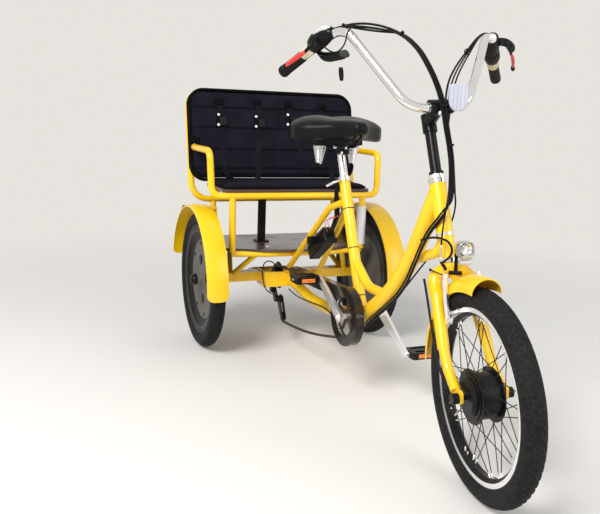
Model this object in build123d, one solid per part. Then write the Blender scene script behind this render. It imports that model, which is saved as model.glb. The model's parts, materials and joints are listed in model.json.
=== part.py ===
from build123d import *
import os
from math import asin, cos, degrees, pi, radians, sin, sqrt, tan

# Electric tricycle with a passenger bench, in millimetres.
# While it is drawn, X runs forward from the rear axle, Y to the rider's left and Z up from the ground.
# At the end everything moves back so that the origin is on the ground under the middle of the machine.

# Wheels
wheelbase = 1325.0
track = 702.5
tyre_diameter = 520.0
tyre_width = 54.6
rim_diameter = 428.0
rim_width = 31.0
rim_depth = 24.0
rim_wall = 2.0
channel_depth = 6.0
axle_height = tyre_diameter / 2
rest_steer = -9.5

# Front wheel hub
motor_diameter = 112.0
motor_width = 62.0
flange_diameter = 132.0
flange_spacing = 54.0
flange_thick = 3.0
cover_diameter = 92.0
cover_width = 84.0
cover_bevel = 8.0
front_axle_diameter = 12.0
axle_half = 78.0
nut_diameter = 26.0
spoke_diameter = 2.2
spokes_per_side = 18
spoke_sweep = 28.0
spoke_gap = 0.8

# Rear hubs
stub_diameter = 15.0
hub_diameter = 64.0
hub_width = 68.0
cap_diameter = 44.0
cap_depth = 21.0
disc_wall = 1.6
disc_holes = 6
disc_hole_diameter = 9.0

# Fits
shaft_gap = 0.05
seat_gap = 0.3

# Steering axis, from the top of the head tube to its foot
head_top = Vector(wheelbase - 276, 0, 732)
head_foot = Vector(wheelbase - 201, 0, 549)
head_diameter = 43.0
steerer_diameter = 28.6
headset_diameter = 46.0
headset_height = 11.0
steering_axis = (head_foot - head_top).normalized()

# Fork
fork_half = 58.0
shoulder_half = 48.0
leg_top_diameter = 35.0
leg_low_diameter = 26.0
dropout_thick = 7.0
crown_diameter = 40.0

# Bottom bracket and seat tube
bracket_centre = Vector(661, 0, 273)
seat_tube_top = Vector(490, 0, 682)
seat_tube_foot = Vector(669, 0, 278)
seat_axis = (seat_tube_top - seat_tube_foot).normalized()
main_diameter = 50.0
main_sag = 71.0
main_radius = 700.0
seat_tube_diameter = 36.0
stay_diameter = 22.0
chain_stay_diameter = 40.0
brace_diameter = 30.0
strut_diameter = 28.0
shell_diameter = 46.0
shell_width = 72.0
seat_post_diameter = 28.0
post_out = 102.0
post_in = 38.0
collar_height = 14.0

# The main tube sags below the straight line from the head tube to the bottom bracket
main_start = head_top + steering_axis * 20
main_end = bracket_centre + Vector(-6, 0, -16)
main_chord = main_end - main_start
main_side = Vector(-main_chord.Z, 0, main_chord.X).normalized()
main_bend = main_start + main_chord * 0.52 + main_side * main_sag

# Crank and chain
spindle_diameter = 17.0
chain_line = -48.0
ring_tip_radius = 79.0
ring_thick = 3.0
ring_teeth = 38
tooth_depth = 6.0
sprocket_tip_radius = 43.0
pulley_radius = 20.0
pulley_place = Vector(92, chain_line, 112)
jockey_place = Vector(56, chain_line, 178)
jockey_radius = 17.0
chain_wide = 8.0
chain_high = 4.5
chain_play = 0.5
crank_length = 167.0
crank_angle = 145.5
crank_inner = 72.0
crank_thick = 11.0
crank_flare = 12.0
crank_boss_radius = 18.0
crank_tip_radius = 10.0
pedal_gap = 6.0
pedal_length = 86.0
pedal_width = 62.0
pedal_height = 22.0
pedal_pin = 9.0
guard_outer = -65.0
guard_wall = 2.5
guard_deep = 28.0
guard_radius = 95.0
guard_window = 62.0
guard_tip_x = 180.0
crank_middle = crank_inner + crank_thick / 2
crank_tip_outer = crank_middle + crank_flare + crank_thick / 2

# Rear axle beam, with a yoke of plates and a bent tube round the sprockets
beam_low = axle_height - 11
beam_high = axle_height + 24
beam_back = -22.0
beam_front = 32.0
beam_end = 306.0
yoke_right = -122.0
yoke_left = 32.0
yoke_low = axle_height - 31
yoke_high = axle_height + 28
yoke_front = 66.0
yoke_back = -92.0
yoke_plate = 6.0
yoke_tube = 28.0

# Bench
bench_tube = 25.0
rail_height = 590.0
rail_front = 100.0
arm_half = 345.0
arm_rise = 162.0
arm_top = rail_height + arm_rise
arm_front = 66.0
back_drop = 42.0
back_low_x = -172.0
back_low_z = rail_height - back_drop
back_lean = 12.2
back_height = 430.0
back_half = 352.0
back_corner = 65.0
cushion_corner = 62.0
cushion_thick = 36.0
cushion_half = back_half + 6
cushion_foot = 66.0
seat_half = 300.0
seat_back = -158.0
board_thick = 12.0
pad_thick = 14.0
pad_back = -128.0
seat_bar = 18.0
seat_rear_bar = 22.0
plate_side = 300.0
plate_thick = 5.0
plate_width = 32.0
leg_half = 266.0
deck_top = 394.0
deck_thick = 9.0
deck_half = 299.0
deck_back = -194.0
deck_front = 160.0
deck_corner_x = 84.0
deck_corner = 14.0
deck_tube = 22.0
leg_foot_x = 108.0
post_width = 32.0
post_half = 104.0
post_x = -36.0
strap_width = 26.0
strap_thick = 2.4
strap_places = (-228, -66, 68, 222)

# Mudguards
guard_gap = 23.0
guard_thick = 5.0
guard_inner_radius = tyre_diameter / 2 + guard_gap
guard_outer_radius = guard_inner_radius + guard_thick
guard_wide = 78.0
guard_shift_right = 15.0
guard_shift_left = -10.0
guard_drop = 5.0
guard_start = -4.0
guard_sweep = 174.0
guard_corner = 24.0
lamp_drop = 47.6
front_guard_gap = 24.0
front_guard_inner = tyre_diameter / 2 + front_guard_gap
front_guard_thick = 3.0
front_guard_wide = 74.0
front_guard_drop = 36.0
front_guard_start = 88.0
front_guard_sweep = 91.0

# Saddle, as sections from tail to nose: place along X, half width, lowest and highest point
saddle_low = 816.0
saddle_sections = [
    (332, 104, 828, 882), (362, 152, 818, 890), (424, 161, saddle_low, 886), (486, 94, 820, 882),
    (542, 42, 828, 886), (597, 24, 842, 874),
]
spring_place = Vector(410, 61, 801)
spring_height = 66.0

# Handlebar: its corner points from the clamp outwards; the bar is bent so that its right grip is the higher one
clamp_place = Vector(wheelbase - 280, 0, 926)
bar_diameter = 24.0
bar_corners = [(0, 0, 0, 0), (0, 78, 0, 0), (-150, 204, 204, 9), (-332, 330, 90, 15)]
bar_radii = [70.0, 60.0]
grip_diameter = 33.0
grip_length = 104.0
housing_place = grip_length + 34
lever_place = grip_length + 45


def rod(start, end, diameter, end_diameter=None):
    """A straight round bar, tapered where a second diameter is given."""
    run = Vector(*end) - Vector(*start)
    place = Plane(origin=Vector(*start), z_dir=run)
    low = (Align.CENTER, Align.CENTER, Align.MIN)
    if end_diameter is None:
        return place * Cylinder(diameter / 2, run.length, align=low)
    return place * Cone(diameter / 2, end_diameter / 2, run.length, align=low)


def bent(points, diameter, radii):
    """A round bar along straight runs joined by tangent arcs."""
    path = FilletPolyline(*points, radius=radii)
    start = Plane(origin=path @ 0, z_dir=path % 0)
    return sweep(start * Circle(diameter / 2), path=path)


def block(low, high):
    """A box between two opposite corners."""
    size = [b - a for a, b in zip(low, high)]
    middle = [(a + b) / 2 for a, b in zip(low, high)]
    return Pos(*middle) * Box(*size)


def across(x, y_low, y_high, z, diameter):
    """A round bar that runs across the machine."""
    return rod((x, y_low, z), (x, y_high, z), diameter)


def mirrored(part):
    """The same piece on the other side of the machine."""
    return mirror(part, about=Plane.XZ)


def both(part):
    """A piece and its mirror image."""
    return Part() + [part, mirrored(part)]


def turned(points):
    """A ring: radius and width points turned about the wheel's axis, along Y."""
    return revolve(make_face(Polyline(*points, close=True)), axis=Axis.Y)


def largest(part):
    """The main solid of a cut piece, without its offcuts."""
    return max(part.solids(), key=lambda solid: solid.volume)


def arch(section, start, sweep_angle):
    """A mudguard: a radius and width section turned about a wheel's axis from one angle through another."""
    wheel_axis = Axis((0, 0, 0), (0, -1, 0))
    guard = revolve(section, axis=wheel_axis, revolution_arc=sweep_angle)
    return guard.rotate(wheel_axis, start)


def end_cutters(radius, half, corner, upward):
    """Two cutters that round the corners of a mudguard's end, drawn for an end at angle zero."""
    cutters = []
    for side in (-1, 1):
        square = Pos(radius, side * (half - corner / 2), upward * corner / 2) * Box(60, corner, corner)
        round_bar = rod((radius - 40, side * (half - corner), upward * corner),
                        (radius + 40, side * (half - corner), upward * corner), 2 * corner)
        cutters.append(square - round_bar)
    return cutters


def crowned(inner, thick, wide, drop):
    """The section of a mudguard: one arc inside and one outside, its edges lower than its middle by the drop."""
    half = wide / 2
    outer = inner + thick
    inside = ThreePointArc((inner - drop, -half), (inner, 0), (inner - drop, half))
    outside = ThreePointArc((outer - drop, half), (outer, 0), (outer - drop, -half))
    ends = [Line(inside @ 1, outside @ 0), Line(outside @ 1, inside @ 0)]
    return make_face(inside.edges() + outside.edges() + ends[0].edges() + ends[1].edges())


def upright(sketch, y, thick):
    """A plate with its outline in X and Z, from y towards +Y by its thickness."""
    plane = Plane(origin=(0, y + thick, 0), x_dir=(1, 0, 0), z_dir=(0, -1, 0))
    return extrude(plane * sketch, amount=thick)


def steering_point(down, forward=0.0, side=0.0):
    """A point at a distance down the steering axis from its top, forward of it and to one side."""
    ahead = Vector(-steering_axis.Z, 0, steering_axis.X)
    return head_top + steering_axis * down + ahead * forward + Vector(0, side, 0)


# Wheels, each drawn about the origin with its axis along Y

def tyre():
    radius = tyre_diameter / 2
    half = tyre_width / 2
    middle = radius - half
    seat = rim_diameter / 2 - channel_depth
    inside = rim_width / 2 - rim_wall
    shoulder = rim_diameter / 2 + 4
    bulge = sqrt(half**2 - (middle - shoulder) ** 2)
    crown = ThreePointArc((shoulder, -bulge), (radius, 0), (shoulder, bulge))
    base = Polyline(
        (shoulder, bulge), (rim_diameter / 2 + 1, inside), (seat, inside),
        (seat, -inside), (rim_diameter / 2 + 1, -inside), (shoulder, -bulge),
    )
    return revolve(make_face(crown + base), axis=Axis.Y)


def rim_points():
    outer = rim_diameter / 2
    inner = outer - rim_depth
    half = rim_width / 2
    return [
        (outer, -half), (outer, -half + rim_wall), (outer - channel_depth, -half + rim_wall),
        (outer - channel_depth, half - rim_wall), (outer, half - rim_wall), (outer, half),
        (outer - 16, half), (inner, half * 0.5), (inner, -half * 0.5), (outer - 16, -half),
    ]


def front_spokes():
    spokes = []
    inner_radius = flange_diameter / 2 - 2
    outer_radius = rim_diameter / 2 - rim_depth - seat_gap
    for side in (-1, 1):
        for index in range(spokes_per_side):
            lead = 1 if index % 2 else -1
            angle = 360 * index / spokes_per_side + (10 if side > 0 else 0)
            hub_y = side * (flange_spacing / 2 + lead * (flange_thick / 2 + spoke_diameter / 2 + spoke_gap))
            near = radians(angle)
            far = radians(angle + lead * spoke_sweep)
            start = (inner_radius * cos(near), hub_y, inner_radius * sin(near))
            end = (outer_radius * cos(far), side * 3, outer_radius * sin(far))
            spokes.append(rod(start, end, spoke_diameter))
    return Part() + spokes


def hub_motor():
    body = across(0, -motor_width / 2, motor_width / 2, 0, motor_diameter)
    covers = across(0, -cover_width / 2, cover_width / 2, 0, cover_diameter)
    covers = chamfer(covers.edges().filter_by(GeomType.CIRCLE), cover_bevel)
    hub = body + covers
    for side in (-1, 1):
        middle = side * flange_spacing / 2
        hub += across(0, middle - flange_thick / 2, middle + flange_thick / 2, 0, flange_diameter)
    bore = across(0, -cover_width, cover_width, 0, front_axle_diameter + 2 * shaft_gap)
    return hub - bore


def rear_wheel():
    """Rim, dished covers and hub of the right wheel. Its cap faces -Y."""
    half = hub_width / 2
    rim = turned(rim_points())
    inner = rim_diameter / 2 - rim_depth
    covers = []
    for side in (-1, 1):
        edge = side * rim_width * 0.3
        hub_edge = side * (half - 4)
        inward = side * disc_wall
        covers.append(turned([
            (inner + 6, edge), (hub_diameter / 2 - 2, hub_edge),
            (hub_diameter / 2 - 2, hub_edge - inward), (inner + 6, edge - inward),
        ]))
    hub = across(0, -half, half, 0, hub_diameter)
    cap = across(0, -half - cap_depth, -half, 0, cap_diameter)
    cap = fillet(cap.edges().filter_by(GeomType.CIRCLE).sort_by(Axis.Y)[0], 6)
    wheel = rim + covers + hub + cap
    hole_radius = inner - 22
    drills = []
    for index in range(disc_holes):
        angle = 2 * pi * index / disc_holes
        drills.append(across(
            hole_radius * cos(angle), -half, half, hole_radius * sin(angle), disc_hole_diameter
        ))
    bore = across(0, -half, half + 1, 0, stub_diameter + 2 * shaft_gap)
    return wheel - drills - bore


# Frame

def head_tube():
    tube = rod(head_top, head_foot, head_diameter)
    strut_foot = main_bend + (main_start - main_bend) * 0.28
    strut = bent([steering_point(142), steering_point(172, -46), strut_foot], strut_diameter, [40.0])
    bore = rod(steering_point(-5), steering_point(210), steerer_diameter + 2 * shaft_gap)
    return tube + (strut - main_tube_bar()) - bore


def headset():
    length = (head_foot - head_top).length
    cups = []
    for low, high in ((-headset_height, 0.0), (length, length + headset_height)):
        cups.append(rod(steering_point(low), steering_point(high), headset_diameter))
    bore = rod(steering_point(-20), steering_point(length + 20), steerer_diameter + 2 * shaft_gap)
    return Part() + cups - bore


def main_tube_bar():
    return bent([main_start, main_bend, main_end], main_diameter, [main_radius])


def main_tube():
    shell = across(bracket_centre.X, -60, 60, bracket_centre.Z, shell_diameter)
    return largest(main_tube_bar() - rod(steering_point(-40), steering_point(260), head_diameter) - shell)


def seat_tube_bar():
    return rod(seat_tube_top, seat_tube_foot, seat_tube_diameter)


def seat_tube():
    socket = rod(seat_tube_top, seat_tube_top - seat_axis * post_in, seat_post_diameter)
    shell = across(bracket_centre.X, -shell_width / 2, shell_width / 2, bracket_centre.Z, shell_diameter)
    bore = across(bracket_centre.X, -60, 60, bracket_centre.Z, spindle_diameter + 2 * shaft_gap)
    return (seat_tube_bar() - main_tube_bar()) - socket + shell - bore


def frame_brace():
    top = seat_tube_foot + (seat_tube_top - seat_tube_foot) * 0.40
    foot = main_bend + (main_end - main_bend) * 0.30
    bar = bent([top, (top + foot) / 2 + Vector(-12, 0, -34), foot], brace_diameter, [90.0])
    return bar - main_tube_bar() - seat_tube_bar()


def seat_stays():
    # Corner points: at the seat tube, at the bend, at the axle beam
    right = [(514, -16, 616), (449, -30, 591), (250, -30, 437), (yoke_front - 4, -30, yoke_high + 1)]
    left = [(514, 16, 616), (450, 36, 586), (74, 104, beam_high + 4), (14, 106, beam_high - 10)]
    stays = []
    for points in (right, left):
        stays.append(largest(bent(points, stay_diameter, [60.0, 40.0]) - seat_tube_bar() - axle_beam()))
    return Part() + stays


def chain_stay():
    start = Vector(50, 0, axle_height - 14)
    bar = bent([start, (250, 0, 224), (400, 0, 227), main_end + Vector(0, 0, 12)],
               chain_stay_diameter, [400.0, 400.0])
    shell = across(bracket_centre.X, -60, 60, bracket_centre.Z, shell_diameter)
    return largest(bar - axle_beam() - shell - main_tube_bar())


def seat_post():
    post = rod(seat_tube_top - seat_axis * post_in, seat_tube_top + seat_axis * post_out, seat_post_diameter)
    collar = rod(seat_tube_top, seat_tube_top + seat_axis * collar_height, seat_tube_diameter + 6)
    lever = bent([(496, -14, 690), (510, -44, 684), (494, -66, 668)], 9, [10.0])
    return post + collar + (lever - rod(seat_tube_top, seat_tube_foot, seat_tube_diameter + 2 * seat_gap))


def saddle_frame():
    top = seat_tube_top + seat_axis * post_out
    clamp = Pos(top.X, 0, top.Z + 8) * Box(46, 44, 26)
    clamp = fillet(clamp.edges(), 4) - seat_post()
    rail_z = saddle_low - 6
    rails = []
    for side in (-1, 1):
        rails.append(bent([(575, side * 10, rail_z + 22), (520, side * 18, rail_z - 12), (430, side * 20, rail_z - 20),
                           (392, side * 60, rail_z - 6)], 8, [20.0, 20.0]))
    springs = []
    for side in (-1, 1):
        foot = Vector(spring_place.X, side * spring_place.Y, spring_place.Z - spring_height)
        springs.append(rod(foot, foot + Vector(0, 0, spring_height), 12, 42))
    plate = block((382, -84, spring_place.Z - 2), (438, 84, saddle_low - seat_gap))
    return clamp + rails + plate + springs - saddle()


def saddle():
    sections = []
    for x, half, low, top in saddle_sections:
        height = top - low
        place = Plane(origin=(x, 0, low + height / 2), x_dir=(0, 1, 0), z_dir=(1, 0, 0))
        sections.append(place * RectangleRounded(2 * half, height, height * 0.42))
    return loft(sections)


# Rear axle and deck

def axle_beam():
    right = block((beam_back, -beam_end, beam_low), (beam_front, yoke_right + yoke_plate, beam_high))
    left = block((beam_back, yoke_left - yoke_plate, beam_low), (beam_front, beam_end, beam_high))
    outside = block((beam_back, yoke_right, yoke_low), (yoke_front, yoke_left, yoke_high))
    inside = block((beam_back - 1, yoke_right + yoke_plate, yoke_low - 1),
                   (yoke_front - yoke_plate, yoke_left - yoke_plate, yoke_high + 1))
    tube_z = (beam_low + beam_high) / 2 - 4
    inner = beam_back + 8
    tube = bent([(inner, yoke_right - 18, tube_z), (yoke_back, yoke_right - 18, tube_z),
                 (yoke_back, yoke_left + 22, tube_z), (inner, yoke_left + 22, tube_z)], yoke_tube, [34.0, 34.0])
    bore = across(0, -beam_end - 1, -beam_end + 60, axle_height, stub_diameter)
    return right + left + (outside - inside) + tube - bore - mirrored(bore)


def mudguard_stays():
    half = plate_width / 2
    plate = block((-half, -plate_side - plate_thick, beam_high), (half, -plate_side, guard_outer_radius * 2))
    foot = block((-half, -plate_side - plate_thick, beam_high), (half, -plate_side + 22, beam_high + plate_thick))
    reach = guard_inner_radius - guard_drop - seat_gap
    room = across(0, -track, 0, axle_height, 2 * reach)
    tab = block((-half, -plate_side - 42, axle_height + reach - 6), (half, -plate_side, axle_height + reach + 9))
    return both((plate & room) + foot + (tab & room))


def axle_stubs():
    stub = across(0, -track / 2 - hub_width / 2 + 3, -beam_end + 60, axle_height, stub_diameter)
    return both(stub)


def cassette():
    # Sprocket rows: tip radius and side position from the chain, small to large
    rows = [(30, -12), (34, -8), (38, -4), (sprocket_tip_radius, 0), (49, 5.5), (54, 9.5)]
    discs = [across(0, chain_line + y - 1, chain_line + y + 1, axle_height, 2 * radius) for radius, y in rows]
    barrel = across(0, chain_line - 16, chain_line + 22, axle_height, 42)
    shaft = across(0, yoke_right + yoke_plate, yoke_left - yoke_plate, axle_height, spindle_diameter)
    return shaft + barrel + discs


def chain_outline(extra):
    circles = [
        Pos(bracket_centre.X, bracket_centre.Z) * Circle(ring_tip_radius + chain_play + extra),
        Pos(0, axle_height) * Circle(sprocket_tip_radius + chain_play + extra),
        Pos(pulley_place.X, pulley_place.Z) * Circle(pulley_radius + chain_play + extra),
    ]
    edges = []
    for circle in circles:
        edges += circle.edges()
    return make_hull(edges)


def chain():
    band = chain_outline(chain_high) - chain_outline(0)
    return upright(band, chain_line - chain_wide / 2, chain_wide)


def derailleur():
    y = chain_line
    low = pulley_place
    high = jockey_place
    wheels = [
        across(low.X, y - 2, y + 2, low.Z, 2 * (pulley_radius - chain_play)),
        across(high.X, y - 2, y + 2, high.Z, 2 * (jockey_radius - chain_play)),
    ]
    cage = []
    for start in (y - 8, y + 5):
        ends = (Pos(high.X, high.Z) * Circle(11)).edges() + (Pos(low.X, low.Z) * Circle(11)).edges()
        cage.append(upright(make_hull(ends), start, 3))
    pins = [across(place.X, y - 8, y + 8, place.Z, 8) for place in (low, high)]
    knuckle = across(high.X, y - 26, y - 8, high.Z, 24)
    link_ends = (Pos(high.X, high.Z) * Circle(10)).edges() + (Pos(28, high.Z + 30) * Circle(9)).edges()
    links = [upright(make_hull(link_ends), start, 4) for start in (y - 26, y - 16)]
    pivot = across(28, y - 30, y - 12, high.Z + 30, 20)
    hanger_ends = (Pos(28, high.Z + 30) * Circle(9)).edges() + (Pos(34, yoke_low + 8) * Circle(9)).edges()
    hanger = upright(make_hull(hanger_ends), y - 34, 5) + block((20, yoke_right + yoke_plate, yoke_low - 5),
                                                                 (48, y - 30, yoke_low - 0.3))
    return wheels[0] + wheels[1] + cage + pins + knuckle + links + pivot + hanger


def deck():
    shoulder = deck_front - 16
    bow = 150
    outline = make_face(
        Polyline((deck_back, -deck_half), (deck_corner_x, -deck_half), (shoulder, -bow)).edges()
        + [ThreePointArc((shoulder, -bow), (deck_front, 0), (shoulder, bow))]
        + Polyline((shoulder, bow), (deck_corner_x, deck_half), (deck_back, deck_half),
                   (deck_back, -deck_half)).edges()
    )
    outline = fillet(outline.vertices(), deck_corner)
    board = extrude(Pos(0, 0, deck_top - deck_thick) * outline, amount=deck_thick)
    for side in (-1, 1):
        board -= Pos(leg_foot_x, side * leg_half, deck_top) * Cylinder(bench_tube / 2 + 1, 40)
    return board


def deck_frame():
    z = deck_top - deck_thick - deck_tube / 2
    front = deck_front - 28
    rail = bent([(leg_foot_x - 4, -leg_half, z), (front, -130, z), (front, 130, z), (leg_foot_x - 4, leg_half, z)],
                deck_tube, [70.0, 70.0])
    rear = across(deck_back + 34, -leg_half, leg_half, z, deck_tube)
    struts = []
    for side in (-1, 1):
        struts.append(rod((front - 8, side * 176, z), (24, side * 236, beam_high - 4), 20))
        struts.append(rod((deck_back + 38, side * 200, z), (-14, side * 236, beam_high - 4), 20))
    return (rail + rear + struts) - axle_beam()


def front_leg(side):
    return rod((rail_front + 1, side * leg_half, rail_height - 4),
               (leg_foot_x, side * leg_half, deck_top - deck_thick - 4), bench_tube)


def bench_legs():
    legs = both(front_leg(-1) + rod((-176, -leg_half, back_low_z + 6), (-168, -leg_half, 505), bench_tube))
    return legs - front_rail() - deck_frame() - back_frame() - rear_mudguards()


def leg_sleeve():
    run = Vector(rail_front + 1 - leg_foot_x, 0, rail_height - deck_top)
    foot = Vector(leg_foot_x, leg_half, deck_top)
    outer = rod(foot + run * 0.01, foot + run * 0.78, bench_tube + 8)
    return outer - front_leg(1)


def bench_post():
    top = rail_height - bench_tube / 2
    post = Box(6, post_width, top - deck_top)
    foot = Pos(0, 0, 3 - (top - deck_top) / 2) * Box(44, 50, 6)
    head = Pos(0, 0, (top - deck_top) / 2 - 2) * Box(44, post_width, 4)
    return Pos(post_x, -post_half, (deck_top + top) / 2) * (post + foot + head)


def front_rail():
    corner_x = arm_front + 14
    right = [
        (back_low_x - 50, -arm_half, arm_top), (arm_front, -arm_half, arm_top),
        (corner_x, -arm_half + 6, rail_height), (rail_front, -arm_half + 65, rail_height),
    ]
    left = [(x, -y, z) for x, y, z in reversed(right)]
    return bent(right + left, bench_tube, [34.0, 34.0, 24.0, 24.0, 34.0, 34.0])


def bench_rail():
    return front_rail() - back_frame()


def back_plane():
    """The plane of the backrest: its x runs to the left, its y up the leaning back."""
    return Plane(origin=(back_low_x, 0, back_low_z), x_dir=(0, 1, 0),
                 z_dir=(cos(radians(back_lean)), 0, sin(radians(back_lean))))


def back_frame():
    place = back_plane()
    outline = RectangleRounded(2 * back_half, back_height, back_corner)
    loop = (place * Pos(0, back_height / 2) * outline).wires()[0]
    start = Plane(origin=loop @ 0, z_dir=loop % 0)
    return sweep(start * Circle(bench_tube / 2), path=loop)


def back_cushion():
    place = back_plane()
    rise = back_height - cushion_foot
    sheet = RectangleRounded(2 * cushion_half, rise, cushion_corner)
    middle = cushion_foot + rise / 2 + 4
    solid = extrude(place * Pos(0, middle, bench_tube / 2 + seat_gap) * sheet, amount=cushion_thick)
    reach = bench_tube / 2 + seat_gap
    room = rod((back_low_x - 90, -arm_half, arm_top), (back_low_x + 180, -arm_half, arm_top), 2 * reach)
    room += block((back_low_x - 90, -arm_half - 60, arm_top - reach), (back_low_x + 180, -arm_half, arm_top + reach))
    return fillet(solid.edges().group_by(Axis.X)[-1], 10) - room - mirrored(room)


def seat_frame():
    z = rail_height
    sides = [rod((rail_front - 6, y, z), (seat_back, y, z), seat_bar) for y in (-230, 0, 230)]
    rear = rod((seat_back, -leg_half - 4, z), (seat_back, leg_half + 4, z), seat_rear_bar)
    hangers = []
    for side in (-1, 1):
        hangers.append(rod((seat_back, side * 250, z), (back_low_x - 6, side * 250, back_low_z), seat_bar))
    return (rear + sides + hangers) - front_rail() - back_frame()


def seat_board():
    low = rail_height + bench_tube / 2
    depth = rail_front + 4 - seat_back
    board = Pos(rail_front + 4 - depth / 2, 0, low + board_thick / 2) * Box(depth, 2 * seat_half, board_thick)
    return fillet(board.edges().filter_by(Axis.Z), 24)


def seat_cushion():
    low = rail_height + bench_tube / 2 + board_thick
    front = rail_front - 6
    pad = Pos((front + pad_back) / 2, 0, low + pad_thick / 2 + seat_gap) * Box(
        front - pad_back, 2 * seat_half - 16, pad_thick)
    pad = fillet(pad.edges().filter_by(Axis.Z), 24)
    return fillet(pad.edges().group_by(Axis.Z)[-1], 5)


def seat_straps():
    place = back_plane()
    face = bench_tube / 2 + cushion_thick + 2 * seat_gap
    length = 262
    straps = []
    for y in strap_places:
        middle = Pos(y, back_height - 48 - length / 2, face + strap_thick / 2)
        straps.append(place * middle * Box(strap_width, length, strap_thick))
    return Part() + straps


# Mudguards

def rear_mudguards():
    section = crowned(guard_inner_radius, guard_thick, guard_wide, guard_drop)
    wheel_axis = Axis((0, 0, 0), (0, -1, 0))
    guard = arch(section, guard_start, guard_sweep)
    for angle, upward in ((guard_start, 1), (guard_start + guard_sweep, -1)):
        for cutter in end_cutters(guard_inner_radius, guard_wide / 2, guard_corner, upward):
            guard -= cutter.rotate(wheel_axis, angle)
    return at_guards(guard)


def at_guards(part):
    """A piece at both rear mudguards, which sit outwards of the right wheel and inwards of the left one."""
    right = Pos(0, -track / 2 - guard_shift_right, axle_height) * part
    left = Pos(0, track / 2 + guard_shift_left, axle_height) * mirrored(part)
    return Part() + [right, left]


def tail_reflector():
    lamp = fillet(Box(26, 50, 46).edges(), 4)
    radius = guard_outer_radius + 13 + seat_gap
    lamp_angle = 180 - degrees(asin((back_low_z - lamp_drop - axle_height) / radius))
    return at_guards(Rot(0, -lamp_angle, 0) * Pos(radius, 0, 0) * lamp)


def controller():
    """A finned box between the seat stays, held by a strap to the right stay."""
    run = (Vector(458, 0, 526) - Vector(292, 0, 416)).normalized()
    place = Plane(origin=(309, 6, 440), x_dir=run, z_dir=(0, -1, 0))
    body = fillet(Box(168, 52, 42).edges(), 5)
    fins = [Pos(x, 29, 0) * Box(4, 8, 38) for x in range(-72, 73, 16)]
    box = place * (body + fins)
    right, left = seat_stays().solids().sort_by(Axis.Y)
    strap = block((292, -44, 442), (312, 66, 467))
    return box + (strap - right - left - box)


# Crank set

def chainring():
    root = ring_tip_radius - tooth_depth
    ring = Circle(root) - Circle(root - 8)
    teeth = []
    for index in range(ring_teeth):
        angle = 360 * index / ring_teeth
        tooth = Polyline((root - 0.5, -3.0), (ring_tip_radius, -1.1), (ring_tip_radius, 1.1), (root - 0.5, 3.0),
                         close=True)
        teeth.append(Rot(0, 0, angle) * make_face(tooth))
    spider = []
    for index in range(5):
        angle = 72 * index + 20
        arm = Polyline((16, -9), (root - 5, -5), (root - 5, 5), (16, 9), close=True)
        spider.append(Rot(0, 0, angle) * make_face(arm))
    hub = Circle(22) - Circle(spindle_diameter / 2)
    flat = (ring + teeth + spider + hub) - Circle(spindle_diameter / 2)
    plate = upright(flat, -ring_thick / 2, ring_thick)
    return Pos(bracket_centre.X, chain_line, bracket_centre.Z) * plate


def crank_tip(side):
    angle = radians(crank_angle if side < 0 else crank_angle + 180)
    return Vector(bracket_centre.X + crank_length * cos(angle), 0, bracket_centre.Z + crank_length * sin(angle))


def crank_arm(side):
    """One arm: it tapers from boss to tip, and leans outwards to clear the frame."""
    outline = make_hull(Circle(crank_boss_radius).edges() + (Pos(crank_length, 0) * Circle(crank_tip_radius)).edges())
    arm = upright(outline, -crank_thick / 2, crank_thick)
    lean = degrees(asin(crank_flare / crank_length))
    turn = crank_angle if side < 0 else crank_angle + 180
    place = Pos(bracket_centre.X, side * crank_middle, bracket_centre.Z) * Rot(0, -turn, 0) * Rot(0, 0, side * lean)
    return place * arm


def crankset():
    c = bracket_centre
    reach = crank_inner + crank_thick
    parts = across(c.X, -reach, reach, c.Z, spindle_diameter)
    for side in (-1, 1):
        tip = crank_tip(side)
        parts += crank_arm(side)
        ends = sorted((side * (crank_tip_outer - crank_thick), side * (crank_tip_outer + pedal_gap + pedal_length)))
        parts += across(tip.X, ends[0], ends[1], tip.Z, pedal_pin)
    return parts


def pedal_span(side):
    """The inner and outer end of a pedal's body."""
    near = crank_tip_outer + pedal_gap
    return sorted((side * near, side * (near + pedal_length - 4)))


def pedal(side):
    tip = crank_tip(side)
    low, high = pedal_span(side)
    width = high - low
    middle = Pos(tip.X, (low + high) / 2, tip.Z)
    body = fillet(Box(pedal_width, width, pedal_height).edges().filter_by(Axis.Z), 5)
    for sign in (-1, 1):
        body -= Pos(sign * 17, 0, 0) * Box(14, width - 26, pedal_height + 2)
        body -= Pos(sign * pedal_width / 2, 0, 0) * Box(4, 46, 13)
    return middle * body - across(tip.X, -300, 300, tip.Z, pedal_pin + 2 * shaft_gap)


def pedal_reflectors(side):
    tip = crank_tip(side)
    low, high = pedal_span(side)
    parts = []
    for sign in (-1, 1):
        parts.append(Pos(tip.X + sign * (pedal_width / 2 - 1), (low + high) / 2, tip.Z) * Box(2, 46, 13))
    return Part() + parts


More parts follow.
